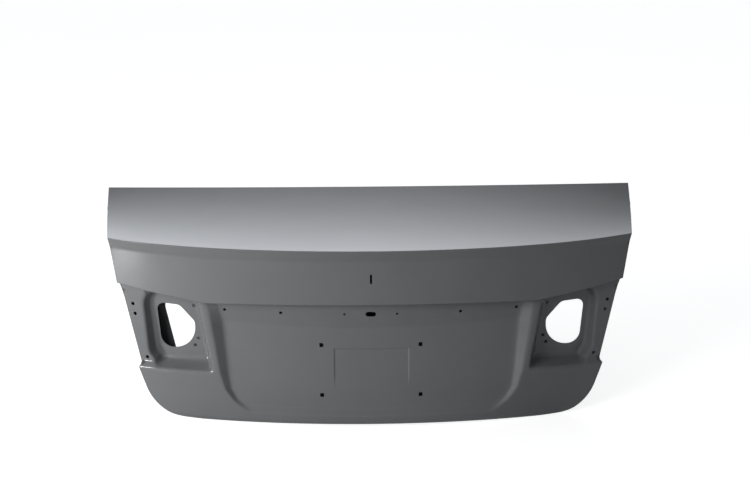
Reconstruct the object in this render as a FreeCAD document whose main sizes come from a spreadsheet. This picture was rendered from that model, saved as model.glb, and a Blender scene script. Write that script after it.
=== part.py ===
import FreeCAD
import Part
import math
import os
import Sketcher
from FreeCAD import Placement, Rotation, Vector

# Rear lid of a saloon car's luggage space, as a bare assembly of steel pressings.
#
# The lid is L-shaped: a nearly level deck above, an upright rear face below. Two outer pressings
# make the visible skin. The upper one is the deck, the lip and the band of face below the lip, and
# it ends in a ledge that folds in. The lower one starts under that ledge and holds the plate
# recess and the two lamp pockets. One inner pressing backs both: a flange round its edge lies
# against the skins, a channel runs round inside the flange, and the web inside the channel is cut
# out to save weight. Small reinforcements with weld nuts sit between the skins where the hinges
# and the lock bolt on.
#
# Frame, in millimetres: +X to the right as seen from behind the car, +Y forwards, +Z up. The
# origin is in the middle of the lid's width and depth, level with its lowest edge.

doc = FreeCAD.newDocument("luggage_lid")
sheet = doc.addObject("Spreadsheet::Sheet", "Sizes")

SIZES = [
    ("lid_depth", 480, "lip at the middle to the front corners of the deck"),
    ("skin_thickness", 0.8, "outer pressings"),
    ("inner_thickness", 0.7, "inner pressing"),
    ("seam_gap", 0.4, "adhesive between sheets that lie on each other"),
    ("lip_half_width", 668, "half the width at the ends of the lip"),
    ("lip_height", 475.5, "lip at the middle"),
    ("lip_end_drop", 11, "how much lower the lip ends are"),
    ("plan_sweep", 165, "how far the rear face sweeps forwards at the lip ends"),
    ("plan_wrap", 0.14, "share of that sweep that comes in the last stretch"),
    ("front_half_width", 705, "half the width at the front corners"),
    ("front_height", 519, "front edge of the deck at the middle"),
    ("front_corner_drop", 11.7, "how much lower the front corners are"),
    ("front_bow", 55, "how far the front edge bows rearwards at the middle"),
    ("deck_bulge", 3, "how far the deck's side edges bulge out halfway"),
    ("lip_bend", 3, "half the soft crease at the foot of the under-cut band"),
    ("deck_kick", 0.2, "slope of the deck at the lip over its mean slope"),
    ("fold_radius", 4, "bends at the lip and the ledge"),
    ("band_height", 30, "under-cut band below the lip"),
    ("band_undercut", 8, "how far that band runs in"),
    ("face_foot_half_width", 648.5, "half the width at the foot of the upper face"),
    ("ledge_height", 335, "foot of the upper face at the middle"),
    ("ledge_dip", 11.5, "how much lower the ledge is at the recess corners"),
    ("ledge_rise", 24, "how much it climbs from there to the ends"),
    ("weld_flange", 14, "down-turned edge of the ledge, behind the lower skin"),
    ("weld_end_inset", 6, "its ends inside the lower skin's outline"),
    ("outline_top_half_width", 643.5, "lower skin, under the ledge"),
    ("outline_waist_half_width", 594, "lower skin, at the lamp shelf"),
    ("outline_hip_half_width", 601.5, "lower skin, just below the lamp shelf"),
    ("bottom_half_width", 556, "lower skin, bottom corners before rounding"),
    ("bottom_corner_radius", 110, "bottom corners"),
    ("bottom_tumble", 6, "how far the lower face leans in towards its bottom edge"),
    ("bottom_bow", 8, "how much the bottom edge rises at the middle"),
    ("bottom_bow_half_width", 440, "half the length of that rise"),
    ("crease_height", 262, "crease across the top of the plate field"),
    ("crease_rise", 12, "how much higher the crease is at the recess corners"),
    ("crease_depth", 34, "plate recess at that crease"),
    ("recess_top_depth", 26, "plate recess under the ledge"),
    ("recess_fade_height", 58, "where the plate field runs out to the face"),
    ("recess_fade_depth", 6, "plate field there"),
    ("recess_wall", 48, "side wall of the recess, across"),
    ("ridge_top", 424, "ridge between recess and lamp pocket, under the ledge"),
    ("ridge_foot", 390, "ridge at the lamp shelf"),
    ("ridge_depth", 16, "ridge under the ledge; at the shelf it comes out to the face"),
    ("ridge_width", 12, "top of the ridge, across"),
    ("shelf_height", 130, "rear edge of the shelf under the lamp pocket"),
    ("shelf_rise", 14, "how much higher the shelf is at the pocket floor"),
    ("shelf_tilt", 14, "how much higher the shelf is at the ridge than at its outer end"),
    ("shelf_drop", 4, "how much lower its outer end is"),
    ("shelf_bend", 5, "bends of the shelf"),
    ("crease_bend", 5, "half the bend at the crease"),
    ("pocket_top_depth", 40, "lamp pocket floor under the ledge"),
    ("pocket_foot_depth", 50, "lamp pocket floor at the shelf"),
    ("pocket_half_width", 569, "pocket floor, outer side, under the ledge"),
    ("pocket_foot_half_width", 554, "pocket floor, outer side, at the shelf"),
    ("pocket_wall", 16, "side walls of the pocket, across"),
    ("side_flange_depth", 15, "skin outboard of the pocket, behind the face"),
    ("bottom_tuck", 7, "how far the bottom edge curls in"),
    ("lamp_hole_inner", 449, "lamp opening, inner side"),
    ("lamp_hole_outer", 549, "lamp opening, outer side"),
    ("lamp_hole_taper", 9, "how far its outer side slants in"),
    ("lamp_hole_top", 298, "lamp opening, top"),
    ("lamp_hole_foot", 177, "lamp opening, foot"),
    ("lamp_hole_cut_width", 39, "cut-off inner top corner"),
    ("lamp_hole_cut_height", 42, "cut-off inner top corner"),
    ("lamp_hole_inner_radius", 64, "lamp opening, inner bottom corner"),
    ("lamp_hole_outer_radius", 30, "lamp opening, outer bottom corner"),
    ("lamp_hole_top_radius", 20, "lamp opening, top corners"),
    ("stud_hole_radius", 4.5, "holes for the lamp's studs and pegs"),
    ("clip_hole_radius", 4, "holes for the trim bar's clips"),
    ("trim_hole_height", 301, "holes for the trim bar"),
    ("slot_length", 26, "oval slot for the release lever"),
    ("slot_height", 13, "oval slot for the release lever"),
    ("badge_slot_height", 24, "slot in the upper face"),
    ("badge_slot_width", 5, "slot in the upper face"),
    ("badge_slot_centre", 402, "slot in the upper face"),
    ("plate_hole_pitch", 250, "square holes for the plate holder, across"),
    ("plate_hole_rise", 130, "square holes for the plate holder, up"),
    ("plate_hole_centre", 153, "middle of that group"),
    ("plate_hole_width", 10, "side of each square hole"),
    ("hem_clearance", 1.5, "inner pressing's edge inside the outline"),
    ("flange_width", 15, "inner pressing, flange against the skin"),
    ("channel_wall", 16, "walls of the channel, across"),
    ("channel_bend", 3, "bends of the channel"),
    ("channel_width", 62, "bottom of the channel"),
    ("channel_depth", 26, "bottom of the channel below the skin"),
    ("web_depth", 5, "web below the skin"),
    ("deck_opening_inner", 174, "middle deck opening, half its width"),
    ("deck_opening_rear", -80, "middle deck opening, rear side"),
    ("deck_opening_front", 48, "middle deck opening, front side"),
    ("side_opening_inner", 296, "side deck openings, inner side"),
    ("side_opening_outer", 552, "side deck openings, outer side"),
    ("side_opening_rear", -58, "side deck openings, rear inner corner"),
    ("side_opening_front", 61, "side deck openings, front inner corner"),
    ("side_opening_rear_out", 24, "side deck openings, rear outer corner"),
    ("side_opening_front_out", 84, "side deck openings, front outer corner"),
    ("rib_half_spacing", 235, "ribs between the deck openings"),
    ("rib_width", 70, "rib, foot to foot"),
    ("rib_floor", 24, "rib, flat bottom"),
    ("rib_depth", 22, "rib below the skin"),
    ("rear_wall_depth", 84, "inner pressing's rear wall behind the rear face"),
    ("rear_bend", 48, "bend between its deck and its rear wall"),
    ("rear_wall_foot", 68, "foot of its rear wall"),
    ("foot_flange", 36, "top of its flange along the bottom edge"),
    ("lock_pad_half_width", 90, "flat part of its rear wall"),
    ("hinge_pad_height", 448, "flat hinge seats in the side channels"),
    ("hinge_bolt_x", 629, "hinge bolts from the middle"),
    ("hinge_bolt_y", 140, "middle of the two hinge bolts"),
    ("hinge_bolt_pitch", 50, "between the two hinge bolts"),
    ("hinge_hole_radius", 4.5, "holes for the hinge bolts"),
    ("hinge_plate_width", 36, "hinge reinforcement"),
    ("hinge_plate_length", 92, "hinge reinforcement"),
    ("hinge_plate_thickness", 2, "hinge reinforcement"),
    ("plate_flange", 8, "up-turned sides of the reinforcements"),
    ("lock_bolt_height", 104, "lock bolts"),
    ("lock_bolt_pitch", 80, "between the two lock bolts"),
    ("lock_hole_radius", 3.5, "holes for the lock bolts"),
    ("lock_plate_width", 116, "lock reinforcement"),
    ("lock_plate_height", 50, "lock reinforcement"),
    ("lock_plate_thickness", 1.6, "lock reinforcement"),
    ("lock_window_width", 44, "window for the lock's mouth"),
    ("lock_window_height", 26, "window for the lock's mouth"),
    ("nut_corner_radius", 7.5, "hexagonal weld nuts, middle to corner"),
    ("nut_height", 7, "weld nuts"),
    ("mastic_radius", 9, "anti-flutter pads between web and skin"),
    ("mastic_clearance", 0.3, "pads to the sheets above and below"),
    ("opening_radius", 28, "openings of the inner pressing"),
    ("access_inner", 453, "openings behind the lamps, inner side"),
    ("access_outer", 558, "right opening behind the lamps, outer side"),
    ("access_outer_left", 538, "left opening behind the lamps, outer side at the top"),
    ("access_taper_left", 32, "how far that side slants in"),
    ("access_top", 302, "openings behind the lamps, top"),
    ("access_foot", 156, "openings behind the lamps, foot"),
    ("access_radius", 45, "openings behind the lamps, inner corners"),
    ("access_tip_radius", 8, "left opening behind the lamps, outer bottom corner"),
    ("window_inner", 140, "openings beside the lock, inner side"),
    ("window_outer", 384, "openings beside the lock, outer side"),
    ("window_top", 262, "openings beside the lock, top"),
    ("window_foot", 128, "openings beside the lock, foot"),
]

# holes for the lamp's studs and pegs on the right side: (across, height)
STUD_HOLES = [(610, 293), (605, 267), (578, 152), (450, 300), (442, 210), (451, 190)]
for number, (across, height) in enumerate(STUD_HOLES, 1):
    SIZES.append((f"stud_hole_{number}_across", across, "hole for a stud or peg of the lamp"))
    SIZES.append((f"stud_hole_{number}_height", height, "hole for a stud or peg of the lamp"))

# clip holes of the trim bar on the right side, from the middle outwards
CLIP_HOLES = [66, 226, 369]
for number, across in enumerate(CLIP_HOLES, 1):
    SIZES.append((f"clip_hole_{number}_across", across, "hole for a clip of the trim bar"))

for line, (alias, value, note) in enumerate(SIZES, 1):
    sheet.set(f"A{line}", alias)
    sheet.set(f"B{line}", str(value))
    sheet.setAlias(f"B{line}", alias)
    sheet.set(f"C{line}", note)
doc.recompute()


def size(alias):
    """A driving size, read from the sheet."""
    return float(sheet.get(alias))


SKIN = size("skin_thickness")
INNER = size("inner_thickness")
SEAM = size("seam_gap")
LIP_X = size("lip_half_width")
FRONT_X = size("front_half_width")
FRONT_Y = size("lid_depth") / 2
RIDGE_TOP = size("ridge_top")
LEDGE_Z = size("ledge_height")
LEDGE_END_X = size("face_foot_half_width")
SHELF_Z = size("shelf_height")
SHELF_TOP_Z = SHELF_Z + size("shelf_rise")
CREASE_Z = size("crease_height")
FADE_Z = size("recess_fade_height")
BAND = size("band_height")
UNDERCUT = size("band_undercut")
FACE = size("lip_height") - LEDGE_Z
REAR_Y = -FRONT_Y
# the plate field has run out this far below its fade line
RECESS_FADE = 20
# the sheets run this far past the outline before they are trimmed to it
OVERRUN = 8
# a rounded bend is three flats; the middle one stands this share of the radius off both tangents
ARC = 0.3
RECESS_DEPTHS = [
    (FADE_Z - RECESS_FADE, 0),
    (FADE_Z, size("recess_fade_depth")),
    (CREASE_Z, size("crease_depth")),
    (LEDGE_Z, size("recess_top_depth")),
]


def mix(a, b, share):
    """From a at share 0 to b at share 1."""
    return a + (b - a) * share


def steps(value, knots):
    """Straight lines through (position, value) knots, level past the ends."""
    if value <= knots[0][0]:
        return knots[0][1]
    for (p0, v0), (p1, v1) in zip(knots, knots[1:]):
        if value <= p1:
            return mix(v0, v1, (value - p0) / (p1 - p0))
    return knots[-1][1]


def sweep(x):
    """Y of the rear face at x: a parabola, with a sixth-power wrap near the ends."""
    t = abs(x) / LIP_X
    wrap = size("plan_wrap")
    return REAR_Y + size("plan_sweep") * ((1 - wrap) * t**2 + wrap * t**6)


def tumble(z):
    """How far the face leans in at height z, below the lamp shelf."""
    return size("bottom_tumble") * max(1 - z / SHELF_Z, 0) ** 2


def lip_z(x):
    """Height of the lip."""
    return size("lip_height") - size("lip_end_drop") * (x / LIP_X) ** 2


def front_y(x):
    """Y of the deck's front edge."""
    return FRONT_Y - size("front_bow") * (1 - (x / FRONT_X) ** 2)


def front_z(x):
    """Height of the deck's front edge."""
    return size("front_height") - size("front_corner_drop") * (x / FRONT_X) ** 2


def deck_rise(t):
    """Share of the deck's climb at t, from 0 at the lip to 1 at the front edge."""
    kick = size("deck_kick")
    return kick * t + (1 - kick) * t**2


def deck_z(x, y):
    """Height of the deck's upper side above a point in plan."""
    t = (y - sweep(x)) / (front_y(x) - sweep(x))
    return mix(lip_z(x), front_z(x), deck_rise(t))


def ledge_z(x):
    """Height of the ledge: it dips towards the recess corners and climbs to the ends."""
    dip = size("ledge_dip") * min(abs(x) / RIDGE_TOP, 1) ** 2
    climb = max(abs(x) - RIDGE_TOP, 0) / (LEDGE_END_X - RIDGE_TOP)
    return LEDGE_Z - dip + size("ledge_rise") * climb


def shelf_share(z):
    """How far the skin has gone in at height z: nothing below the shelf, all of it above."""
    bend = size("shelf_bend")
    knots = [
        (SHELF_Z - bend, 0),
        (SHELF_Z + ARC * bend, 0.07),
        (SHELF_TOP_Z - ARC * bend, 0.93),
        (SHELF_TOP_Z + bend, 1),
    ]
    return steps(z, knots)


def lower_lines(z):
    """(x, depth) of the lower skin's lines at height z, from the middle outwards."""
    ridge_foot = size("ridge_foot")
    ridge_knots = [
        (0, 0.75 * ridge_foot),
        (FADE_Z, 0.86 * ridge_foot),
        (0.8 * SHELF_Z, 0.96 * ridge_foot),
        (SHELF_Z, ridge_foot),
        (LEDGE_Z, RIDGE_TOP),
    ]
    ridge = steps(z, ridge_knots)
    wall = size("recess_wall") * steps(z, [(FADE_Z, 0.2), (SHELF_Z, 0.6), (CREASE_Z, 1)])
    floor = ridge - wall
    ridge_end = ridge + size("ridge_width")
    foot = ridge_end + 0.7 * size("pocket_wall")
    far = steps(z, [(SHELF_Z, size("pocket_foot_half_width")), (LEDGE_Z, size("pocket_half_width"))])
    flange = far + size("pocket_wall")
    hip = size("outline_hip_half_width")
    edge = OVERRUN + steps(z, [(SHELF_TOP_Z, hip), (LEDGE_Z, size("outline_top_half_width"))])
    recess = steps(z, RECESS_DEPTHS)
    crest = steps(z, [(SHELF_Z, 0), (LEDGE_Z, size("ridge_depth"))])
    floor_knots = [(SHELF_TOP_Z, size("pocket_foot_depth")), (LEDGE_Z, size("pocket_top_depth"))]
    pocket = shelf_share(z) * steps(z, floor_knots)
    side = shelf_share(z) * size("side_flange_depth")
    return [
        (0, recess),
        (floor / 3, recess),
        (2 * floor / 3, recess),
        (floor, recess),
        (floor + 0.2 * wall, mix(recess, crest, 0.08)),
        (floor + 0.8 * wall, mix(recess, crest, 0.92)),
        (ridge, crest),
        (ridge_end, crest),
        (foot, pocket),
        (mix(foot, far, 1 / 3), pocket),
        (mix(foot, far, 2 / 3), pocket),
        (far, pocket),
        (flange, side),
        (mix(flange, edge, 0.5), side),
        (edge, side),
    ]


# how many of those lines one smooth face takes, from the plate field outwards
LOWER_FIELDS = [3, 1, 1, 1, 1, 1, 3, 1, 2]


def bottom_rise(x):
    """How much the bottom edge stands above its ends."""
    reach = min(abs(x) / size("bottom_bow_half_width"), 1)
    return size("bottom_bow") * (1 - reach**2)


# height above the bottom edge's ends and share of the curl, row by row
FOOT_CURL = [(14, 0.05), (7, 0.3), (-2, 1.25), (-OVERRUN, 2)]


def lower_shift(x, z, lamp_share):
    """How much higher the lower skin's net stands at x: the crease rises, the shelf is tilted."""
    bend = size("crease_bend")
    crease_knots = [(FADE_Z, 0), (CREASE_Z - bend, 1), (CREASE_Z + bend, 1), (LEDGE_Z, 0)]
    crease = size("crease_rise") * (x / RIDGE_TOP) ** 2 * steps(z, crease_knots)
    bend = size("shelf_bend")
    shelf_knots = [(FADE_Z, 0), (SHELF_Z - bend, 1), (SHELF_TOP_Z + bend, 1), (LEDGE_Z, 0)]
    hip, foot = size("outline_hip_half_width"), size("ridge_foot")
    tilt = size("shelf_tilt") * min((hip - x) / (hip - foot), 1) - size("shelf_drop")
    return mix(crease, tilt * steps(z, shelf_knots), lamp_share)


def both_sides(half, odd=False):
    """Values from left to right, given those from the middle outwards."""
    sign = -1 if odd else 1
    return [sign * v for v in reversed(half[1:])] + list(half)


def fields_of(half):
    """Lines per face from left to right; the middle face spans both sides."""
    return list(reversed(half[1:])) + [2 * half[0]] + list(half[1:])


def net_of(rows):
    """Points by line and then by row, from rows of (xs, ys, zs)."""
    return [[Vector(xs[k], ys[k], zs[k]) for xs, ys, zs in rows] for k in range(len(rows[0][0]))]


def lower_skin_net():
    """Points of the lower skin's visible side, rows from the ledge down."""
    bend = size("shelf_bend")
    crease_bend = size("crease_bend")
    plate_rows = [LEDGE_Z, CREASE_Z + crease_bend, CREASE_Z - crease_bend]
    plate_rows += [mix(FADE_Z, CREASE_Z, share) for share in (0.6, 0.48, 0.38, 0.28, 0.16)]
    plate_rows += [FADE_Z + 8, FADE_Z - 8, FADE_Z - RECESS_FADE]
    lamp_rows = [LEDGE_Z] + [mix(SHELF_TOP_Z, LEDGE_Z, share) for share in (0.6, 0.4)]
    lamp_rows += [SHELF_TOP_Z + bend, SHELF_TOP_Z - ARC * bend, SHELF_Z + ARC * bend, SHELF_Z - bend]
    lamp_rows += [mix(FADE_Z, SHELF_Z, share) for share in (0.5, 0.2)] + [FADE_Z - 8, FADE_Z - RECESS_FADE]
    plate_rows += [z for z, _ in FOOT_CURL]
    lamp_rows += [z for z, _ in FOOT_CURL]
    curls = [0] * (len(plate_rows) - len(FOOT_CURL)) + [curl for _, curl in FOOT_CURL]
    lamp_shares = [0] * 4 + [0.2, 0.8] + [1] * 9
    rows = []
    for plate_z, lamp_z, curl in zip(plate_rows, lamp_rows, curls):
        xs, zs, depths = [], [], []
        for k, share in enumerate(lamp_shares):
            z = mix(plate_z, lamp_z, share)
            x, depth = lower_lines(z)[k]
            xs.append(x)
            depths.append(depth + tumble(z) + curl * size("bottom_tuck"))
            # the top row follows the ledge, one seam below it
            if z == LEDGE_Z:
                zs.append(ledge_z(x) - SKIN - SEAM)
            else:
                zs.append(z + (bottom_rise(x) if curl else lower_shift(x, z, share)))
        xs = both_sides(xs, odd=True)
        ys = [sweep(x) + depth for x, depth in zip(xs, both_sides(depths))]
        rows.append((xs, ys, both_sides(zs)))
    return net_of(rows)


def upper_skin_net():
    """Points of the upper skin's visible side, rows from the front edge to the weld flange."""
    top_lines = lower_lines(LEDGE_Z)
    last = size("outline_top_half_width") - size("weld_end_inset")
    foot_xs = both_sides([x for x, _ in top_lines[:-1]] + [last], odd=True)
    # outboard of the lamp pockets the ledge stops short, clear of the inner pressing's flange
    short = size("side_flange_depth") - size("fold_radius")
    half_depths = [depth + SKIN + SEAM for _, depth in top_lines[:-3]] + [short] * 3
    ledge_depths = both_sides(half_depths)
    shares = [x / foot_xs[-1] for x in foot_xs]
    radius = size("fold_radius")
    arc = ARC * radius
    rows = []
    lip_t = radius / (FRONT_Y - REAR_Y)
    for t in (1, 0.75, 0.5, 0.25, 0.1, lip_t):
        half_width = mix(LIP_X, FRONT_X, t) + 4 * size("deck_bulge") * t * (1 - t)
        xs = [s * half_width for s in shares]
        ys = [mix(sweep(x), front_y(x), t) for x in xs]
        zs = [mix(lip_z(x), front_z(x), deck_rise(t)) for x in xs]
        rows.append((xs, ys, zs))
    # each row is (drop below the lip, depth behind the face)
    crease = size("lip_bend")
    face_rows = [
        (arc, arc),
        (radius, UNDERCUT * radius / BAND),
        (BAND - crease, UNDERCUT * (1 - crease / BAND)),
        (BAND + crease, UNDERCUT * 0.97),
        (FACE - radius, 0),
        (FACE - arc, arc),
    ]
    for drop, depth in face_rows:
        share = drop / FACE
        xs = [s * mix(LIP_X, LEDGE_END_X, share) for s in shares]
        ys = [sweep(x) + depth for x in xs]
        zs = [mix(lip_z(x), ledge_z(x), share) for x in xs]
        rows.append((xs, ys, zs))
    # each row is (distance from the face, or back from the flange, drop below the ledge)
    for near, back, drop in ((radius, None, 0), (None, radius, 0), (None, arc, arc), (None, 0, radius)):
        xs, ys = [], []
        for s, x, depth in zip(shares, foot_xs, ledge_depths):
            reach = near if back is None else depth - back
            xs.append(mix(s * LEDGE_END_X, x, reach / depth))
            ys.append(sweep(xs[-1]) + reach)
        rows.append((xs, ys, [ledge_z(x) - drop for x in xs]))
    # the flange's foot keeps clear of the lower skin, which runs further in below the ledge
    xs = rows[-1][0]
    foot_z = LEDGE_Z - size("weld_flange")
    foot_depths = [depth + SKIN + SEAM for _, depth in lower_lines(foot_z)[:-3]] + [short] * 3
    ys = [sweep(x) + depth for x, depth in zip(xs, both_sides(foot_depths))]
    rows.append((xs, ys, [ledge_z(x) - size("weld_flange") for x in xs]))
    return net_of(rows)


# lines of the inner pressing, counted from its edge inwards
WALL_LINES = (2, 3)
CHANNEL_LINES = (4, 5)
FREE_LINE = 9


def edge_lines():
    """(distance from the edge, depth under the deck) of the inner pressing's lines near its edge."""
    flange, wall, floor = size("flange_width"), size("channel_wall"), size("channel_width")
    bend, channel, web = size("channel_bend"), size("channel_depth"), size("web_depth")
    inside, outside = flange + wall, flange + wall + floor
    return [
        (size("hem_clearance"), 0),
        (flange - bend, 0),
        (flange + 0.5 * bend, 0.1 * channel),
        (inside - 0.5 * bend, 0.92 * channel),
        (inside + bend, channel),
        (outside - bend, channel),
        (outside + 0.5 * bend, mix(channel, web, 0.1)),
        (outside + wall - 0.5 * bend, mix(channel, web, 0.92)),
        (outside + wall + bend, web),
    ]


# the side flange's last row under the deck, as a share of the deck's length from the lip
LAST_FLANGE_ROW = 0.15
# shares of the deck's length, from its front edge, between which its side lines taper
WEB_START, WEB_END = 0.35, 0.8
# the inner pressing takes one flat strip from each line to the next
INNER_FIELDS = [1] * (FREE_LINE + len(edge_lines()) - 1)


def inner_lines(half_width):
    """(x, line, on a rib) across the inner pressing, from the middle outwards."""
    edges = edge_lines()
    rib, half_rib, half_floor = size("rib_half_spacing"), size("rib_width") / 2, size("rib_floor") / 2
    pad = size("lock_pad_half_width")
    web_edge = half_width - edges[-1][0]
    inner_foot, outer_foot = rib - half_rib, rib + half_rib
    xs = [(0, False), (pad, False), (mix(pad, inner_foot, 0.5), False), (inner_foot, False)]
    xs += [(rib - half_floor, True), (rib + half_floor, True), (outer_foot, False)]
    xs += [(mix(outer_foot, web_edge, share), False) for share in (1 / 3, 2 / 3)]
    lines = [(x, FREE_LINE, on_rib) for x, on_rib in xs]
    for line in reversed(range(len(edges))):
        lines.append((half_width - edges[line][0], line, False))
    return lines


def deck_level(line, on_rib):
    """Depth of the inner pressing below the deck on a line."""
    edges = edge_lines()
    if line < len(edges):
        return edges[line][1]
    return size("rib_depth") if on_rib else size("web_depth")


def wall_y(x):
    """Y of the inner pressing's rear wall, level across the lock pad."""
    return sweep(max(abs(x), size("lock_pad_half_width"))) + size("rear_wall_depth")


def outline_half_width(z):
    """Half the lid's width at height z of the rear face, before its bottom corners."""
    end_z = ledge_z(LEDGE_END_X)
    knots = [
        (SHELF_Z - size("shelf_bend"), size("outline_hip_half_width")),
        (SHELF_Z + size("shelf_bend"), size("outline_waist_half_width")),
        (end_z - 1, size("outline_top_half_width")),
        (end_z, LEDGE_END_X),
        (lip_z(LIP_X), LIP_X),
    ]
    return steps(z, knots)


def inner_row(half_width, place):
    """One row of the inner pressing; place gives (y, z) from x, the line and whether it is a rib."""
    lines = inner_lines(half_width)
    half = [place(*line) for line in lines]
    xs = both_sides([x for x, _, _ in lines], odd=True)
    return xs, both_sides([y for y, _ in half]), both_sides([z for _, z in half])


def inner_net():
    """Points of the inner pressing's outer side, rows from the front edge to the foot."""
    edges = edge_lines()
    lid_length = FRONT_Y - REAR_Y

    def under_deck(x, y, line, level):
        """(y, z) under the deck; the side channels run level under the hinges."""
        z = deck_z(x, y) - level
        if line in CHANNEL_LINES and level > size("web_depth"):
            z = min(z, size("hinge_pad_height"))
        return y, z

    rows = []
    for row, (distance, _) in enumerate(edges):

        def across_front(x, line, on_rib, row=row, distance=distance):
            level = deck_level(min(row, line), on_rib and row == len(edges) - 1)
            return under_deck(x, front_y(x) - distance, line, level)

        rows.append(inner_row(mix(FRONT_X, LIP_X, distance / lid_length), across_front))

    for share in (0.5, 1):

        def across_web(x, line, on_rib, share=share):
            start = front_y(x) - edges[-1][0]
            end = wall_y(x) + size("rear_bend")
            if line < WALL_LINES[0]:
                end = mix(sweep(x), front_y(x), LAST_FLANGE_ROW)
            return under_deck(x, mix(start, end, share), line, deck_level(line, on_rib))

        rows.append(inner_row(mix(FRONT_X, LIP_X, mix(WEB_START, WEB_END, share)), across_web))

    foot = size("rear_wall_foot")
    side = size("side_flange_depth")
    bend = size("rear_bend")
    shelf_bend = size("shelf_bend")

    def drop_z(share):
        return lambda x: mix(lip_z(x), ledge_z(x), share)

    # skin side: (depth behind the face, height); wall side: (share of the wall's depth, height)
    wall_top = size("lip_height") - bend
    rear = [
        (0, drop_z(0), 1, None),
        (0.5 * UNDERCUT, drop_z(0.5 * BAND / FACE), 1, wall_top),
        (UNDERCUT, drop_z(BAND / FACE), 1, mix(wall_top, LEDGE_Z, 0.3)),
        (0, drop_z(1), 1, mix(wall_top, LEDGE_Z, 0.6)),
        (side, drop_z(1), 1, mix(wall_top, LEDGE_Z, 0.8)),
        (side, lambda x: mix(SHELF_TOP_Z, LEDGE_Z, 0.5), 1, mix(foot, LEDGE_Z, 0.55)),
        (side, lambda x: SHELF_TOP_Z + shelf_bend, 1, mix(foot, LEDGE_Z, 0.25)),
        (0.93 * side, lambda x: SHELF_TOP_Z - ARC * shelf_bend, 1, mix(foot, LEDGE_Z, 0.2)),
        (0.07 * side, lambda x: SHELF_Z + ARC * shelf_bend, 1, mix(foot, LEDGE_Z, 0.16)),
        (0, lambda x: SHELF_Z - shelf_bend, 1, mix(foot, LEDGE_Z, 0.12)),
        (0, lambda x: mix(foot, SHELF_Z, 0.4), 1, foot),
        (0, lambda x: foot - 10, 0.88, foot - 12),
        (0, lambda x: size("foot_flange"), 0.08, size("foot_flange") + 8),
        (0, lambda x: size("foot_flange") - 4, 0, 0),
    ]
    for z, curl in FOOT_CURL:
        rear.append((curl * size("bottom_tuck"), lambda x, z=z: z + bottom_rise(x), 0, 0))
    for index, row in enumerate(rear):
        half_width = outline_half_width(row[1](LEDGE_END_X) - (1 if index > 3 else 0))

        def down_rear(x, line, on_rib, row=row):
            skin_depth, skin_height, wall_share, wall_height = row
            on_skin = (sweep(x) + skin_depth + tumble(skin_height(x)), skin_height(x))
            if wall_height is None:
                y = wall_y(x) + ARC * bend
                on_wall = under_deck(x, y, line, deck_level(line, on_rib) + 0.25 * bend)
            elif wall_share == 0:
                on_wall = on_skin
            else:
                near_y = sweep(x) + tumble(wall_height)
                on_wall = (mix(near_y, wall_y(x), wall_share), wall_height)
            share = [0, 0, 0.1, 0.92, 1][min(line, CHANNEL_LINES[0])]
            return tuple(mix(a, b, share) for a, b in zip(on_skin, on_wall))

        rows.append(inner_row(half_width, down_rear))
    return offset_net(net_of(rows), SKIN + SEAM)


def unit(v):
    """v at length 1."""
    return v * (1 / v.Length)


def offset_net(net, distance):
    """The net moved inwards along its normals, mitred at its folds."""
    moved = []
    lines, rows = len(net), len(net[0])
    for i in range(lines):
        line = []
        for j in range(rows):
            normals = []
            for di, dj in ((-1, -1), (-1, 1), (1, -1), (1, 1)):
                if 0 <= i + di < lines and 0 <= j + dj < rows:
                    along = (net[i + di][j] - net[i][j]) * di
                    across = (net[i][j + dj] - net[i][j]) * dj
                    normals.append(unit(along.cross(across)))
            mean = unit(sum(normals, Vector()))
            spread = sum(n.dot(mean) for n in normals) / len(normals)
            line.append(net[i][j] + mean * (distance / max(spread, 0.5)))
        moved.append(line)
    return moved


def rail(points):
    """Poles of the one polynomial curve through the points."""
    if len(points) == 2:
        return points
    curve = Part.BezierCurve()
    curve.interpolate([[p] for p in points])
    return curve.getPoles()


def strip(first, second):
    """A face ruled between two rails."""
    poles = [list(pair) for pair in zip(rail(first), rail(second))]
    degree = len(poles) - 1
    surface = Part.BSplineSurface()
    surface.buildFromPolesMultsKnots(
        poles, [degree + 1] * 2, [2, 2], [0.0, 1.0], [0.0, 1.0], False, False, degree, 1
    )
    return surface.toShape()


def net_faces(net, fields):
    """Faces over the net: each field is one smooth face wide, ruled from row to row."""
    faces = []
    start = 0
    for count in fields:
        block = net[start : start + count + 1]
        for j in range(len(net[0]) - 1):
            faces.append(strip([line[j] for line in block], [line[j + 1] for line in block]))
        start += count
    return faces


def pressed_sheet(net, fields, thickness):
    """A closed solid from the net to one thickness further in."""
    far = offset_net(net, thickness)
    faces = net_faces(net, fields) + net_faces(far, fields)
    for row in (0, -1):
        start = 0
        for count in fields:
            near = [line[row] for line in net[start : start + count + 1]]
            deep = [line[row] for line in far[start : start + count + 1]]
            faces.append(strip(near, deep))
            start += count
    for side in (0, -1):
        for j in range(len(net[0]) - 1):
            faces.append(strip(net[side][j : j + 2], far[side][j : j + 2]))
    shell = Part.makeShell(faces)
    shell.sewShape()
    solid = Part.makeSolid(shell)
    if solid.Volume < 0:
        solid.reverse()
    return solid


def sheet_part(name, net, fields, thickness):
    """A pressed sheet as a document object; fields are given from the middle outwards."""
    item = doc.addObject("Part::Feature", name)
    item.Shape = pressed_sheet(net, fields_of(fields), thickness)
    item.Placement = Placement()
    return item


def bind(item, **expressions):
    """Tie properties of an object to expressions in the sheet's aliases."""
    for name, expression in expressions.items():
        item.setExpression(name, expression)


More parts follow.
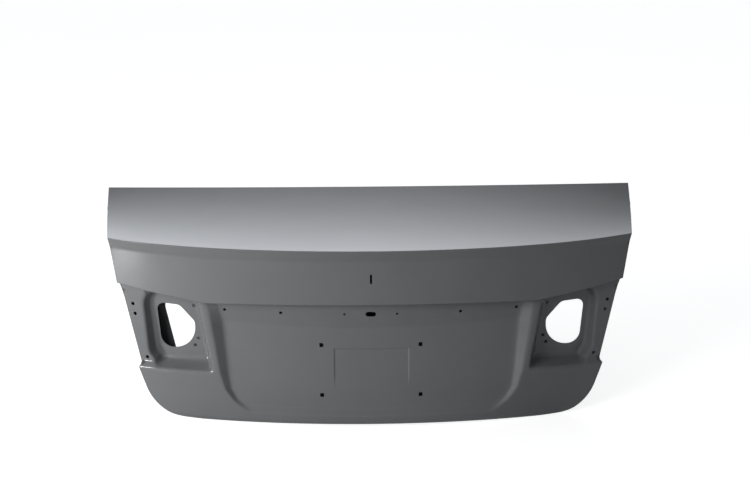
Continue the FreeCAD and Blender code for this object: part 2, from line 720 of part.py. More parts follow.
def polygon(body, name, plane, corners, offset, bow=None):
    """A sketch on one of the body's planes, each corner tied to a pair of expressions.

    Args:
        corners: (across, up) expressions, in order round the outline.
        offset: expression for the sketch's distance along the plane's normal.
        bow: (index, across, up): the side after that corner is an arc through the point.
    """
    sketch = body.newObject("Sketcher::SketchObject", name)
    origin_plane = next(f for f in body.Origin.OriginFeatures if f.Role == plane)
    sketch.AttachmentSupport = [(origin_plane, "")]
    sketch.MapMode = "FlatFace"
    bind(sketch, **{"AttachmentOffset.Base.z": offset})
    points = [Vector(*(float(sketch.evalExpression(e)) for e in corner), 0) for corner in corners]
    for k, start in enumerate(points):
        end = points[(k + 1) % len(points)]
        if bow and bow[0] == k:
            middle = Vector(*(float(sketch.evalExpression(e)) for e in bow[1:]), 0)
            centre = Part.Circle(start, middle, end).Center
            circle = Part.Circle(centre, Vector(0, 0, 1), (middle - centre).Length)
            angles = [math.atan2(p.y - centre.y, p.x - centre.x) for p in (end, start)]
            sketch.addGeometry(Part.ArcOfCircle(circle, *angles), False)
        else:
            sketch.addGeometry(Part.LineSegment(start, end), False)
    # the arc is held anticlockwise, so its ends come in the other order
    ends = {k: (2, 1) if bow and bow[0] == k else (1, 2) for k in range(len(points))}
    for k in range(len(points)):
        after = (k + 1) % len(points)
        sketch.addConstraint(Sketcher.Constraint("Coincident", k, ends[k][1], after, ends[after][0]))
        for kind, expression, value in zip(("DistanceX", "DistanceY"), corners[k], points[k]):
            constraint = Sketcher.Constraint(kind, -1, 1, k, ends[k][0], value)
            bind(sketch, **{f"Constraints[{sketch.addConstraint(constraint)}]": expression})
    if bow:
        mark = sketch.addGeometry(Part.Point(middle), True)
        for kind, expression, value in zip(("DistanceX", "DistanceY"), bow[1:], middle):
            constraint = Sketcher.Constraint(kind, -1, 1, mark, 1, value)
            bind(sketch, **{f"Constraints[{sketch.addConstraint(constraint)}]": expression})
        sketch.addConstraint(Sketcher.Constraint("PointOnObject", mark, 1, bow[0]))
    return sketch


def padded(name, plane, corners, offset, length, bow=None, rounded=()):
    """A body padded to both sides of a polygon, with some of its corners rounded.

    Args:
        rounded: (radius alias, corner indexes) pairs.
    """
    body = doc.addObject("PartDesign::Body", name)
    sketch = polygon(body, name + "_outline", plane, corners, offset, bow)
    pad = body.newObject("PartDesign::Pad", name + "_pad")
    pad.Profile = sketch
    pad.SideType = "Symmetric"
    bind(pad, Length=length)
    doc.recompute()
    last = pad
    for radius, indexes in rounded:
        names = []
        for index in indexes:
            corner = [float(sketch.evalExpression(e)) for e in corners[index]]
            names.append(edge_at(last.Shape, plane, corner))
        fillet = body.newObject("PartDesign::Fillet", name + "_rounding")
        fillet.Base = (last, names)
        bind(fillet, Radius=radius)
        doc.recompute()
        last = fillet
    return body


def edge_at(shape, plane, corner):
    """Name of the padded edge that runs through a corner of the outline."""
    axes = {"XY_Plane": (0, 1), "XZ_Plane": (0, 2), "YZ_Plane": (1, 2)}[plane]
    for number, edge in enumerate(shape.Edges, 1):
        ends = [[v.Point[a] for a in axes] for v in edge.Vertexes]
        if all(math.dist(end, corner) < 1e-4 for end in ends):
            return f"Edge{number}"
    raise ValueError(f"no edge at {corner}")


def mirrored(item):
    """The same piece on the left side."""
    other = doc.addObject("Part::Mirroring", item.Name + "_left")
    other.Source = item
    other.Normal = Vector(1, 0, 0)
    return other


def drill(name, radius, x, z):
    """A round punch through the rear face along Y; all arguments but the name are expressions."""
    hole = doc.addObject("Part::Cylinder", name)
    hole.Placement = Placement(Vector(), BACK)
    bind(hole, Radius=radius, Height="Sizes.lid_depth")
    bind(hole, **{"Placement.Base.x": x, "Placement.Base.z": z})
    return hole


def joined(name, items):
    """Several pieces as one group."""
    group = doc.addObject("Part::Compound", name)
    group.Links = items
    return group


def cut(name, base, tool):
    """base with tool taken away."""
    result = doc.addObject("Part::Cut", name)
    result.Base = base
    result.Tool = tool
    return result


def trimmed(name, base, prism):
    """The part of a pressed sheet that lies inside a prism."""
    item = doc.addObject("Part::Feature", name)
    item.Shape = base.Shape.common(prism.Shape)
    item.Placement = Placement()
    return item


# turns an upright piece so that its top points rearwards
BACK = Rotation(Vector(1, 0, 0), 90)
REACH = "2 * Sizes.lid_depth"


def outline(name, inset, upper):
    """Prism of the lid's outline seen from behind; upper holds its corners above the lamp shelf."""
    half = [
        ("Sizes.bottom_bow_half_width", inset),
        (f"Sizes.bottom_half_width - {inset}", inset),
        (f"Sizes.outline_hip_half_width - {inset}", "Sizes.shelf_height - 0.7 * Sizes.shelf_bend"),
    ] + upper
    corners = half + [(f"-({x})", z) for x, z in reversed(half)]
    bow = (len(corners) - 1, "0", f"Sizes.bottom_bow + {inset}")
    rounded = [("Sizes.bottom_corner_radius", (1, len(corners) - 2))]
    return padded(name, "XZ_Plane", corners, "0", REACH, bow, rounded)


def rectangle(left, right, foot, top):
    """Corners of an upright rectangle, anticlockwise."""
    return [(left, foot), (right, foot), (right, top), (left, top)]


def pair(item):
    """The piece and its mirror image."""
    return [item, mirrored(item)]


def block(name, width, depth, height, x, y, z):
    """A box; all sizes and the position of its middle are expressions."""
    box = doc.addObject("Part::Box", name)
    bind(box, Length=width, Width=depth, Height=height)
    corner = {"x": f"{x} - ({width}) / 2", "y": f"{y} - ({depth}) / 2", "z": f"{z} - ({height}) / 2"}
    bind(box, **{f"Placement.Base.{axis}": expression for axis, expression in corner.items()})
    return box


def u_plate(name, plane, offset, seat, middle, width, height_sign, thickness, length):
    """A plate with both long sides turned up, drawn in section and padded along its length."""
    turned = f"{height_sign} * Sizes.plate_flange"
    sheet_side = f"{height_sign} * {thickness}"
    half = f"{width} / 2"
    across_up = [
        (f"-{half}", "0"),
        (half, "0"),
        (half, turned),
        (f"{half} - {thickness}", turned),
        (f"{half} - {thickness}", sheet_side),
        (f"-({half} - {thickness})", sheet_side),
        (f"-({half} - {thickness})", turned),
        (f"-{half}", turned),
    ]
    if plane == "XZ_Plane":
        corners = [(f"{middle} + {a}", f"{seat} + {u}") for a, u in across_up]
    else:
        corners = [(f"{seat} + {u}", f"{middle} + {a}") for a, u in across_up]
    return padded(name, plane, corners, offset, length)


# outer pressings
badge_slot = block(
    "badge_slot", "Sizes.badge_slot_width", "Sizes.lid_depth / 4", "Sizes.badge_slot_height",
    "0", "-Sizes.lid_depth / 2", "Sizes.badge_slot_centre",
)
upper_blank = sheet_part("upper_blank", upper_skin_net(), LOWER_FIELDS, SKIN)
outer_upper_panel = cut("outer_upper_panel", upper_blank, badge_slot)

LOWER_TOP = [
    ("Sizes.outline_waist_half_width", "Sizes.shelf_height + 0.8 * Sizes.shelf_bend"),
    ("Sizes.outline_top_half_width", "Sizes.ledge_height + Sizes.ledge_rise"),
]
lower_outline = outline("lower_outline", "0", LOWER_TOP)
lower_sheet = sheet_part("lower_sheet", lower_skin_net(), LOWER_FIELDS, SKIN)
lower_blank = trimmed("lower_blank", lower_sheet, lower_outline)

lamp_corners = [
    ("Sizes.lamp_hole_inner", "Sizes.lamp_hole_foot"),
    ("Sizes.lamp_hole_outer - Sizes.lamp_hole_taper", "Sizes.lamp_hole_foot"),
    ("Sizes.lamp_hole_outer", "Sizes.lamp_hole_top"),
    ("Sizes.lamp_hole_inner + Sizes.lamp_hole_cut_width", "Sizes.lamp_hole_top"),
    ("Sizes.lamp_hole_inner", "Sizes.lamp_hole_top - Sizes.lamp_hole_cut_height"),
]
lamp_rounding = [
    ("Sizes.lamp_hole_inner_radius", (0,)),
    ("Sizes.lamp_hole_outer_radius", (1,)),
    ("Sizes.lamp_hole_top_radius", (2, 3, 4)),
]
lamp_punch = padded("lamp_punch", "XZ_Plane", lamp_corners, "0", REACH, rounded=lamp_rounding)
punches = pair(lamp_punch)

for number in range(1, len(STUD_HOLES) + 1):
    place = f"Sizes.stud_hole_{number}"
    hole = drill(f"stud_hole_{number}", "Sizes.stud_hole_radius", place + "_across", place + "_height")
    punches += pair(hole)
for number in range(1, len(CLIP_HOLES) + 1):
    place = f"Sizes.clip_hole_{number}_across"
    punches += pair(drill(f"clip_hole_{number}", "Sizes.clip_hole_radius", place, "Sizes.trim_hole_height"))

slot_corners = rectangle(
    "-Sizes.slot_length / 2", "Sizes.slot_length / 2",
    "Sizes.trim_hole_height - Sizes.slot_height / 2", "Sizes.trim_hole_height + Sizes.slot_height / 2",
)
slot_rounding = [("0.49 * Sizes.slot_height", (0, 1, 2, 3))]
punches.append(padded("release_slot", "XZ_Plane", slot_corners, "0", REACH, rounded=slot_rounding))
for number, side in enumerate(("-", "+"), 1):
    square = block(
        f"plate_hole_{number}", "Sizes.plate_hole_width", "Sizes.lid_depth", "Sizes.plate_hole_width",
        "Sizes.plate_hole_pitch / 2", "-Sizes.lid_depth / 2",
        f"Sizes.plate_hole_centre {side} Sizes.plate_hole_rise / 2",
    )
    punches += pair(square)
outer_lower_panel = cut("outer_lower_panel", lower_blank, joined("lower_punches", punches))

# inner pressing
INNER_TOP = [
    ("Sizes.front_half_width + Sizes.flange_width", "Sizes.shelf_height + 4 * Sizes.flange_width"),
    ("Sizes.front_half_width + Sizes.flange_width", "Sizes.front_height + Sizes.flange_width"),
]
inner_sheet = sheet_part("inner_sheet", inner_net(), INNER_FIELDS, INNER)
inner_outline = outline("inner_outline", "Sizes.hem_clearance", INNER_TOP)
inner_blank = trimmed("inner_blank", inner_sheet, inner_outline)

OPENING_RADIUS = "Sizes.opening_radius"
ACCESS_RADIUS = "Sizes.access_radius"
DECK_LEVEL = "Sizes.front_height"
DECK_REACH = "Sizes.front_height / 2.5"
access = rectangle("Sizes.access_inner", "Sizes.access_outer", "Sizes.access_foot", "Sizes.access_top")
right_access = padded(
    "right_access", "XZ_Plane", access, "0", REACH,
    rounded=[(ACCESS_RADIUS, (0, 3)), (OPENING_RADIUS, (1, 2))],
)
access_left = [
    ("-(Sizes.access_outer_left - Sizes.access_taper_left)", "Sizes.access_foot"),
    ("-Sizes.access_inner", "Sizes.access_foot"),
    ("-Sizes.access_inner", "Sizes.access_top"),
    ("-Sizes.access_outer_left", "Sizes.access_top"),
]
left_access = padded(
    "left_access", "XZ_Plane", access_left, "0", REACH,
    rounded=[(ACCESS_RADIUS, (1, 2)), (OPENING_RADIUS, (3,)), ("Sizes.access_tip_radius", (0,))],
)
window = rectangle("Sizes.window_inner", "Sizes.window_outer", "Sizes.window_foot", "Sizes.window_top")
rear_window = padded(
    "rear_window", "XZ_Plane", window, "0", REACH, rounded=[(OPENING_RADIUS, (0, 1, 2, 3))]
)
middle_opening = padded(
    "middle_opening", "XY_Plane",
    rectangle(
        "-Sizes.deck_opening_inner", "Sizes.deck_opening_inner",
        "Sizes.deck_opening_rear", "Sizes.deck_opening_front",
    ),
    DECK_LEVEL, DECK_REACH, rounded=[(OPENING_RADIUS, (0, 1, 2, 3))],
)
side_corners = [
    ("Sizes.side_opening_inner", "Sizes.side_opening_rear"),
    ("Sizes.side_opening_outer", "Sizes.side_opening_rear_out"),
    ("Sizes.side_opening_outer", "Sizes.side_opening_front_out"),
    ("Sizes.side_opening_inner", "Sizes.side_opening_front"),
]
side_opening = padded(
    "side_opening", "XY_Plane", side_corners, DECK_LEVEL, DECK_REACH,
    rounded=[(OPENING_RADIUS, (0, 1, 2, 3))],
)

# hinge and lock fixings
HINGE_SEAT = "(Sizes.hinge_pad_height - Sizes.skin_thickness - Sizes.seam_gap)"
PAD_SHARE = "(Sizes.lock_pad_half_width / Sizes.lip_half_width)"
LOCK_SEAT = (
    f"(-Sizes.lid_depth / 2 + Sizes.plan_sweep * ((1 - Sizes.plan_wrap) * {PAD_SHARE} ^ 2"
    f" + Sizes.plan_wrap * {PAD_SHARE} ^ 6) + Sizes.rear_wall_depth"
    " + Sizes.skin_thickness + Sizes.seam_gap)"
)


def upright_hole(name, radius, x, y, z, height):
    """A round punch along Z, standing on z; all arguments but the name are expressions."""
    hole = doc.addObject("Part::Cylinder", name)
    bind(hole, Radius=radius, Height=height)
    bind(hole, **{"Placement.Base.x": x, "Placement.Base.y": y, "Placement.Base.z": z})
    return hole


def nut_blank(name, x, y, z, rotation):
    """A hexagonal nut without its bore, standing on a seat."""
    nut = doc.addObject("Part::Prism", name)
    nut.Polygon = 6
    nut.Placement = Placement(Vector(), rotation)
    bind(nut, Circumradius="Sizes.nut_corner_radius", Height="Sizes.nut_height")
    bind(nut, **{"Placement.Base.x": x, "Placement.Base.y": y, "Placement.Base.z": z})
    return nut


hinge_holes, hinge_blanks = [], []
for number, sign in enumerate(("-", "+"), 1):
    along = f"Sizes.hinge_bolt_y {sign} Sizes.hinge_bolt_pitch / 2"
    low = f"{HINGE_SEAT} - Sizes.nut_height"
    high = f"{HINGE_SEAT} + Sizes.hinge_plate_thickness"
    tall = "4 * Sizes.nut_height"
    hole = upright_hole(
        f"hinge_hole_{number}", "Sizes.hinge_hole_radius", "Sizes.hinge_bolt_x", along, low, tall
    )
    hinge_holes += pair(hole)
    blank = nut_blank(f"hinge_nut_{number}", "Sizes.hinge_bolt_x", along, high, Rotation())
    hinge_blanks += pair(blank)
hinge_punch = joined("hinge_punch", hinge_holes)
hinge_plate = u_plate(
    "hinge_plate", "XZ_Plane", "-Sizes.hinge_bolt_y", HINGE_SEAT, "Sizes.hinge_bolt_x",
    "Sizes.hinge_plate_width", "1", "Sizes.hinge_plate_thickness", "Sizes.hinge_plate_length",
)
hinge_reinforcement_right = cut("hinge_reinforcement_right", hinge_plate, hinge_punch)
hinge_reinforcement_left = mirrored(hinge_reinforcement_right)
hinge_weld_nuts = cut("hinge_weld_nuts", joined("hinge_nut_blanks", hinge_blanks), hinge_punch)

bolt_across = "Sizes.lock_bolt_pitch / 2"
bolt = doc.addObject("Part::Cylinder", "lock_hole")
bolt.Placement = Placement(Vector(), BACK)
bind(bolt, Radius="Sizes.lock_hole_radius", Height="Sizes.rear_wall_depth / 2")
bind(bolt, **{
    "Placement.Base.x": bolt_across,
    "Placement.Base.y": f"{LOCK_SEAT} + Sizes.nut_height",
    "Placement.Base.z": "Sizes.lock_bolt_height",
})
lock_window = block(
    "lock_window", "Sizes.lock_window_width", "Sizes.rear_wall_depth", "Sizes.lock_window_height",
    "0", LOCK_SEAT, "Sizes.lock_bolt_height",
)
lock_holes = pair(bolt)
lock_punch = joined("lock_punch", lock_holes + [lock_window])
lock_plate = u_plate(
    "lock_plate", "YZ_Plane", "0", LOCK_SEAT, "Sizes.lock_bolt_height",
    "Sizes.lock_plate_height", "-1", "Sizes.lock_plate_thickness", "Sizes.lock_plate_width",
)
lock_reinforcement = cut("lock_reinforcement", lock_plate, lock_punch)
lock_nut = nut_blank(
    "lock_nut", bolt_across, f"{LOCK_SEAT} - Sizes.lock_plate_thickness", "Sizes.lock_bolt_height", BACK
)
lock_blanks = joined("lock_nut_blanks", pair(lock_nut))
lock_weld_nuts = cut("lock_weld_nuts", lock_blanks, joined("lock_bores", lock_holes))

inner_punches = [right_access, left_access, middle_opening, hinge_punch, lock_punch]
inner_punches += pair(rear_window) + pair(side_opening)
inner_panel = cut("inner_panel", inner_blank, joined("inner_punches", inner_punches))

# anti-flutter pads on the flats of the web beside the deck openings: (across, y)
PAD_PLACES = [(187, -20), (284, 10), (420, 88), (100, 60)]
PAD_SIDES = 16
pads = []
for number, (across, y) in enumerate(PAD_PLACES, 1):
    step = size("mastic_radius")
    slope_y = (deck_z(across, y + step) - deck_z(across, y - step)) / (2 * step)
    slope_x = (deck_z(across + step, y) - deck_z(across - step, y)) / (2 * step)
    normal = unit(Vector(-slope_x, -slope_y, 1))
    surface = Vector(across, y, deck_z(across, y))
    pad = doc.addObject("Part::Prism", f"mastic_pad_{number}")
    pad.Polygon = PAD_SIDES
    foot = size("web_depth") + SKIN + SEAM - size("mastic_clearance")
    pad.Placement = Placement(surface - normal * foot, Rotation(Vector(0, 0, 1), normal))
    bind(pad, Circumradius="Sizes.mastic_radius")
    bind(pad, Height="Sizes.web_depth + Sizes.seam_gap - 2 * Sizes.mastic_clearance")
    pads += pair(pad)
deck_mastic_pads = joined("deck_mastic_pads", pads)

NODES = {
    "outer_upper_panel": outer_upper_panel,
    "outer_lower_panel": outer_lower_panel,
    "inner_panel": inner_panel,
    "hinge_reinforcement_left": hinge_reinforcement_left,
    "hinge_reinforcement_right": hinge_reinforcement_right,
    "hinge_weld_nuts": hinge_weld_nuts,
    "lock_reinforcement": lock_reinforcement,
    "lock_weld_nuts": lock_weld_nuts,
    "deck_mastic_pads": deck_mastic_pads,
}

doc.recompute()
for item in doc.Objects:
    if "Invalid" in item.State or "Error" in item.State:
        raise RuntimeError(f"{item.Name}: {item.State}")
os.makedirs("parts", exist_ok=True)
for name, item in NODES.items():
    item.Label = name
    if item.Shape.isNull() or not item.Shape.isValid():
        raise RuntimeError(f"{name} is not a valid shape")
    item.Shape.exportStep(f"parts/{name}.step")
    print(name, len(item.Shape.Solids), round(item.Shape.Volume))
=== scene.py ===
"""Bare trunk lid of a saloon car: pressed steel skins in grey primer, lit as in a studio.

The two outer pressings and the inner pressing are evaluated as surfaces on grids with numpy,
trimmed to their outlines and openings, and given their sheet thickness. The small reinforcements,
nuts and pads keep their solid meshes and get the finish only. The inner pressing and these parts
wear the primer painted darker than on the outer skins, as painted shade.

Lengths inside the forms are millimetres; meshes are written in metres. X runs to the right as seen
from behind the car, Y forwards and Z up.
"""

import logging
import math
from dataclasses import dataclass
from enum import Enum
from typing import Callable, Dict, List, Sequence, Tuple

import bpy
import numpy as np
from mathutils import Matrix, Vector

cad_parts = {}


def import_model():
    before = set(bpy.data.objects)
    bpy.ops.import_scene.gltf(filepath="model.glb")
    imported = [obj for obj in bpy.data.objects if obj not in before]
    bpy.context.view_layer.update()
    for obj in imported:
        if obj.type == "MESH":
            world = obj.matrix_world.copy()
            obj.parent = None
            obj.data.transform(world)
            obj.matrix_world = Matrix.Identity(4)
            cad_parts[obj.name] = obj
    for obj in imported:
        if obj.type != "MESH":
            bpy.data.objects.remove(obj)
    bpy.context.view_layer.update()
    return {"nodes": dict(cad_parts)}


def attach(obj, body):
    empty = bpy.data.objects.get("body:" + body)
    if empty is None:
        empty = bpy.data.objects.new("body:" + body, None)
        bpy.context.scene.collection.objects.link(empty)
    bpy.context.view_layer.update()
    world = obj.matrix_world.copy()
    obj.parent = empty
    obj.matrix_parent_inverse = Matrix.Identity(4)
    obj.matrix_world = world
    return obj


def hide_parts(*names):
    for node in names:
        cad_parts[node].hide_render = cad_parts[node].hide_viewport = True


Array = np.ndarray
Pair = Tuple[float, float]
log = logging.getLogger("trunk_lid")

MM = 0.001
IMAGE_SIZE = (750, 498)
SENSOR_WIDTH = 36.0

# Points of a rounded corner and of a round hole, reaches in millimetres and mesh settings.
ARC_POINTS = 17
CIRCLE_POINTS = 40
NEAR_HOLE = 3.0
SMALL_HOLE_SPLITS = 2
COLUMN_ROUNDS = 3
NEAR_OUTLINE = 20.0
FAR_OUTSIDE = -1000.0
KEPT = 10.0
# Weights and places, from -1 to 1, of the window over which sharp bends are averaged.
BINOMIAL = np.array([1.0, 6.0, 15.0, 20.0, 15.0, 6.0, 1.0]) / 64.0
WINDOW = tuple(zip(BINOMIAL, np.linspace(-1.0, 1.0, len(BINOMIAL))))


class Plane(Enum):
    """The plane in which a hole's outline is drawn, as two axes of a point."""

    DECK = (0, 1)
    REAR = (0, 2)

    def split(self, points: Array) -> Tuple[Array, Array]:
        """The points' places across and up in the plane."""
        across, up = self.value
        return points[:, across], points[:, up]


def mix(a: Array, b: Array, share: Array) -> Array:
    """Straight mixture: a at share 0, b at share 1."""
    return a + (b - a) * share


def steps(value: Array, knots: Sequence[Pair]) -> Array:
    """Straight lines through (position, value) knots, level past the ends."""
    return np.interp(value, [p for p, _ in knots], [v for _, v in knots])


def smooth(value: Array, low: float, high: float) -> Array:
    """Smooth step: 0 below low, 1 above high, three t squared less two t cubed between."""
    t = np.clip((value - low) / (high - low), 0.0, 1.0)
    return t * t * (3.0 - 2.0 * t)


# ---------------------------------------------------------------- outlines and trimming


@dataclass(frozen=True)
class Outline:
    """A closed outline in a plane, sampled finely enough to measure distances to it."""

    points: Array

    @staticmethod
    def rounded(corners: Sequence[Pair], radii: Sequence[float]) -> "Outline":
        """Polygon with each corner rounded by its own radius.

        Args:
            corners: (across, up) corners in order.
            radii: one radius per corner.

        Returns:
            The outline: arcs tangent to both sides, joined by the straight sides.
        """
        made: List[Array] = []
        count = len(corners)
        for k in range(count):
            before, at, after = (np.array(corners[(k + d) % count], float) for d in (-1, 0, 1))
            a = (before - at) / np.linalg.norm(before - at)
            b = (after - at) / np.linalg.norm(after - at)
            half = 0.5 * math.acos(float(np.clip(a @ b, -1.0, 1.0)))
            reach = radii[k] / math.tan(half)
            middle = (a + b) / np.linalg.norm(a + b)
            centre = at + middle * radii[k] / math.sin(half)
            start, end = at + a * reach - centre, at + b * reach - centre
            turn = math.atan2(start[0] * end[1] - start[1] * end[0], start @ end)
            angles = np.linspace(0.0, turn, ARC_POINTS)[:, None]
            swung = start * np.cos(angles) + np.array([-start[1], start[0]]) * np.sin(angles)
            made.append(centre + swung)
        return Outline(np.concatenate(made))

    @staticmethod
    def circle(x: float, y: float, radius: float) -> "Outline":
        """Round hole of the given radius."""
        angles = np.linspace(0.0, 2.0 * math.pi, CIRCLE_POINTS, endpoint=False)
        return Outline(np.stack([x + radius * np.cos(angles), y + radius * np.sin(angles)], 1))

    @staticmethod
    def rectangle(x: float, y: float, width: float, height: float, radius: float) -> "Outline":
        """Upright rectangle about a middle, with rounded corners."""
        w, h = 0.5 * width, 0.5 * height
        corners = [(x - w, y - h), (x + w, y - h), (x + w, y + h), (x - w, y + h)]
        return Outline.rounded(corners, [radius] * 4)

    def mirrored(self) -> "Outline":
        """The same outline on the other side of the middle."""
        return Outline(self.points[::-1] * np.array([-1.0, 1.0]))

    def distance(self, across: Array, up: Array) -> Array:
        """Signed distance: positive inside, negative outside, in the outline's plane.

        The distance is the least one to any side; the sign comes from how often a ray to the
        right crosses the outline. Points far outside get a large negative value.
        """
        low, high = self.points.min(0) - NEAR_OUTLINE, self.points.max(0) + NEAR_OUTLINE
        near = (across > low[0]) & (across < high[0]) & (up > low[1]) & (up < high[1])
        result = np.full(across.shape, FAR_OUTSIDE)
        p = np.stack([across[near], up[near]], 1)[:, None, :]
        a = self.points[None]
        b = np.roll(self.points, -1, 0)[None]
        side = b - a
        along = np.clip(((p - a) * side).sum(2) / np.maximum((side * side).sum(2), 1e-9), 0, 1)
        gap = np.linalg.norm(p - a - side * along[..., None], axis=2).min(1)
        rising = (a[..., 1] > p[..., 1]) != (b[..., 1] > p[..., 1])
        height = np.where(side[..., 1] == 0, 1e-9, side[..., 1])
        crossing = a[..., 0] + side[..., 0] * (p[..., 1] - a[..., 1]) / height
        inside = ((rising & (crossing > p[..., 0])).sum(1) % 2) == 1
        result[near] = np.where(inside, gap, -gap)
        return result


@dataclass
class Surface:
    """A triangulated sheet without thickness: points, their normals, faces and free-edge marks."""

    points: Array
    normals: Array
    faces: Array
    free: Array

    @staticmethod
    def from_grid(grid: Array, outward: Sequence[float]) -> "Surface":
        """Surface over a grid of points.

        Args:
            grid: rows by columns by three.
            outward: a direction that the middle of the sheet faces.

        Returns:
            Two triangles to each cell; normals are the cross products of central differences.
        """
        rows, columns = grid.shape[:2]
        du = np.gradient(grid, axis=1)
        dv = np.gradient(grid, axis=0)
        normals = np.cross(du, dv)
        normals /= np.maximum(np.linalg.norm(normals, axis=2, keepdims=True), 1e-12)
        index = np.arange(rows * columns).reshape(rows, columns)
        a, b, c, d = index[:-1, :-1], index[:-1, 1:], index[1:, 1:], index[1:, :-1]
        faces = np.concatenate(
            [np.stack([a, b, c], 2).reshape(-1, 3), np.stack([a, c, d], 2).reshape(-1, 3)]
        )
        if (normals.reshape(-1, 3).mean(0) @ np.array(outward, float)) < 0:
            normals, faces = -normals, faces[:, ::-1]
        free = np.zeros((rows, columns), bool)
        free[0], free[-1], free[:, 0], free[:, -1] = True, True, True, True
        return Surface(grid.reshape(-1, 3), normals.reshape(-1, 3), faces, free.reshape(-1))

    def refined(self, near: Callable[[Array], Array]) -> "Surface":
        """Every triangle with a corner where near is true, split into four at its middles."""
        chosen = near(self.points)[self.faces].any(1)
        split = self.faces[chosen]
        if not len(split):
            return self
        edges = np.sort(np.concatenate([split[:, [0, 1]], split[:, [1, 2]], split[:, [2, 0]]]), 1)
        unique, where = np.unique(edges, axis=0, return_inverse=True)
        where = where.reshape(-1) + len(self.points)
        m = len(split)
        ab, bc, ca = where[:m], where[m : 2 * m], where[2 * m :]
        a, b, c = split.T
        fresh = np.concatenate(
            [np.stack(t, 1) for t in ((a, ab, ca), (ab, b, bc), (ca, bc, c), (ab, bc, ca))]
        )
        ends = self.points[unique]
        normals = self.normals[unique].sum(1)
        normals /= np.linalg.norm(normals, axis=1, keepdims=True)
        return Surface(
            np.concatenate([self.points, ends.mean(1)]),
            np.concatenate([self.normals, normals]),
            np.concatenate([self.faces[~chosen], fresh]),
            np.concatenate([self.free, np.zeros(len(unique), bool)]),
        )

    def trimmed(self, distance: Callable[[Array], Array]) -> "Surface":
        """The part of the sheet where distance is positive.

        A triangle across the edge is cut where the distance, taken as straight along each of its
        sides, is zero, so its share along a side is f0 / (f0 - f1).
        """
        f = distance(self.points)
        f = np.where(np.abs(f) < 1e-6, 1e-6, f)
        inside = f > 0
        count = inside[self.faces].sum(1)
        whole = self.faces[count == 3]
        cut = self.faces[(count == 1) | (count == 2)]
        if not len(cut):
            return Surface(self.points, self.normals, whole, self.free)
        lone = inside[cut] == (inside[cut].sum(1) == 1)[:, None]
        order = (lone.argmax(1)[:, None] + np.arange(3)) % 3
        cut = np.take_along_axis(cut, order, 1)
        a, b, c = cut.T
        ends = np.sort(np.concatenate([np.stack([a, b], 1), np.stack([a, c], 1)]), 1)
        unique, where = np.unique(ends, axis=0, return_inverse=True)
        where = where.reshape(-1) + len(self.points)
        ab, ac = where[: len(a)], where[len(a) :]
        f0, f1 = f[unique[:, 0]], f[unique[:, 1]]
        share = (f0 / (f0 - f1))[:, None]
        points = mix(self.points[unique[:, 0]], self.points[unique[:, 1]], share)
        normals = mix(self.normals[unique[:, 0]], self.normals[unique[:, 1]], share)
        normals /= np.linalg.norm(normals, axis=1, keepdims=True)
        tip = inside[a]
        faces = [
            whole,
            np.stack([a, ab, ac], 1)[tip],
            np.stack([ab, b, c], 1)[~tip],
            np.stack([ab, c, ac], 1)[~tip],
        ]
        return Surface(
            np.concatenate([self.points, points]),
            np.concatenate([self.normals, normals]),
            np.concatenate(faces),
            np.concatenate([self.free, np.ones(len(unique), bool)]),
        )

    def pierced(self, outline: Outline, plane: Plane, fine: int = 0) -> "Surface":
        """The sheet less the inside of an outline.

        Args:
            outline: the hole.
            plane: the plane that it is drawn in.
            fine: how many times the cells round the outline are split in four first.

        Returns:
            The pierced sheet.
        """
        low, high = outline.points.min(0) - NEAR_HOLE, outline.points.max(0) + NEAR_HOLE

        def near(points: Array) -> Array:
            """Whether each point is in or close to the hole's box."""
            u, v = plane.split(points)
            return (u > low[0]) & (u < high[0]) & (v > low[1]) & (v < high[1])

        sheet = self
        for _ in range(fine):
            sheet = sheet.refined(near)
        return sheet.trimmed(lambda p: -outline.distance(*plane.split(p)))

    def shell(self, thickness: float) -> Tuple[Array, Array, Array]:
        """Closed shell from the sheet to one thickness behind it.

        Args:
            thickness: sheet gauge in millimetres, measured against the normals.

        Returns:
            Points in metres, triangles, and whether each triangle belongs to the cut edge.
        """
        used = np.unique(self.faces)
        place = np.zeros(len(self.points), int)
        place[used] = np.arange(len(used))
        points, normals = self.points[used], self.normals[used]
        faces, free = place[self.faces], self.free[used]
        directed = np.concatenate([faces[:, [0, 1]], faces[:, [1, 2]], faces[:, [2, 0]]])
        _, where, count = np.unique(
            np.sort(directed, 1), axis=0, return_index=True, return_counts=True
        )
        border = directed[where[count == 1]]
        border = border[free[border].all(1)]
        n = len(points)
        p, q = border.T
        rim = np.concatenate([np.stack([q, p, p + n], 1), np.stack([q, p + n, q + n], 1)])
        body = np.concatenate([faces, faces[:, ::-1] + n])
        both = np.concatenate([points, points - normals * thickness]) * MM
        marks = np.concatenate([np.zeros(len(body), bool), np.ones(len(rim), bool)])
        return both, np.concatenate([body, rim]), marks


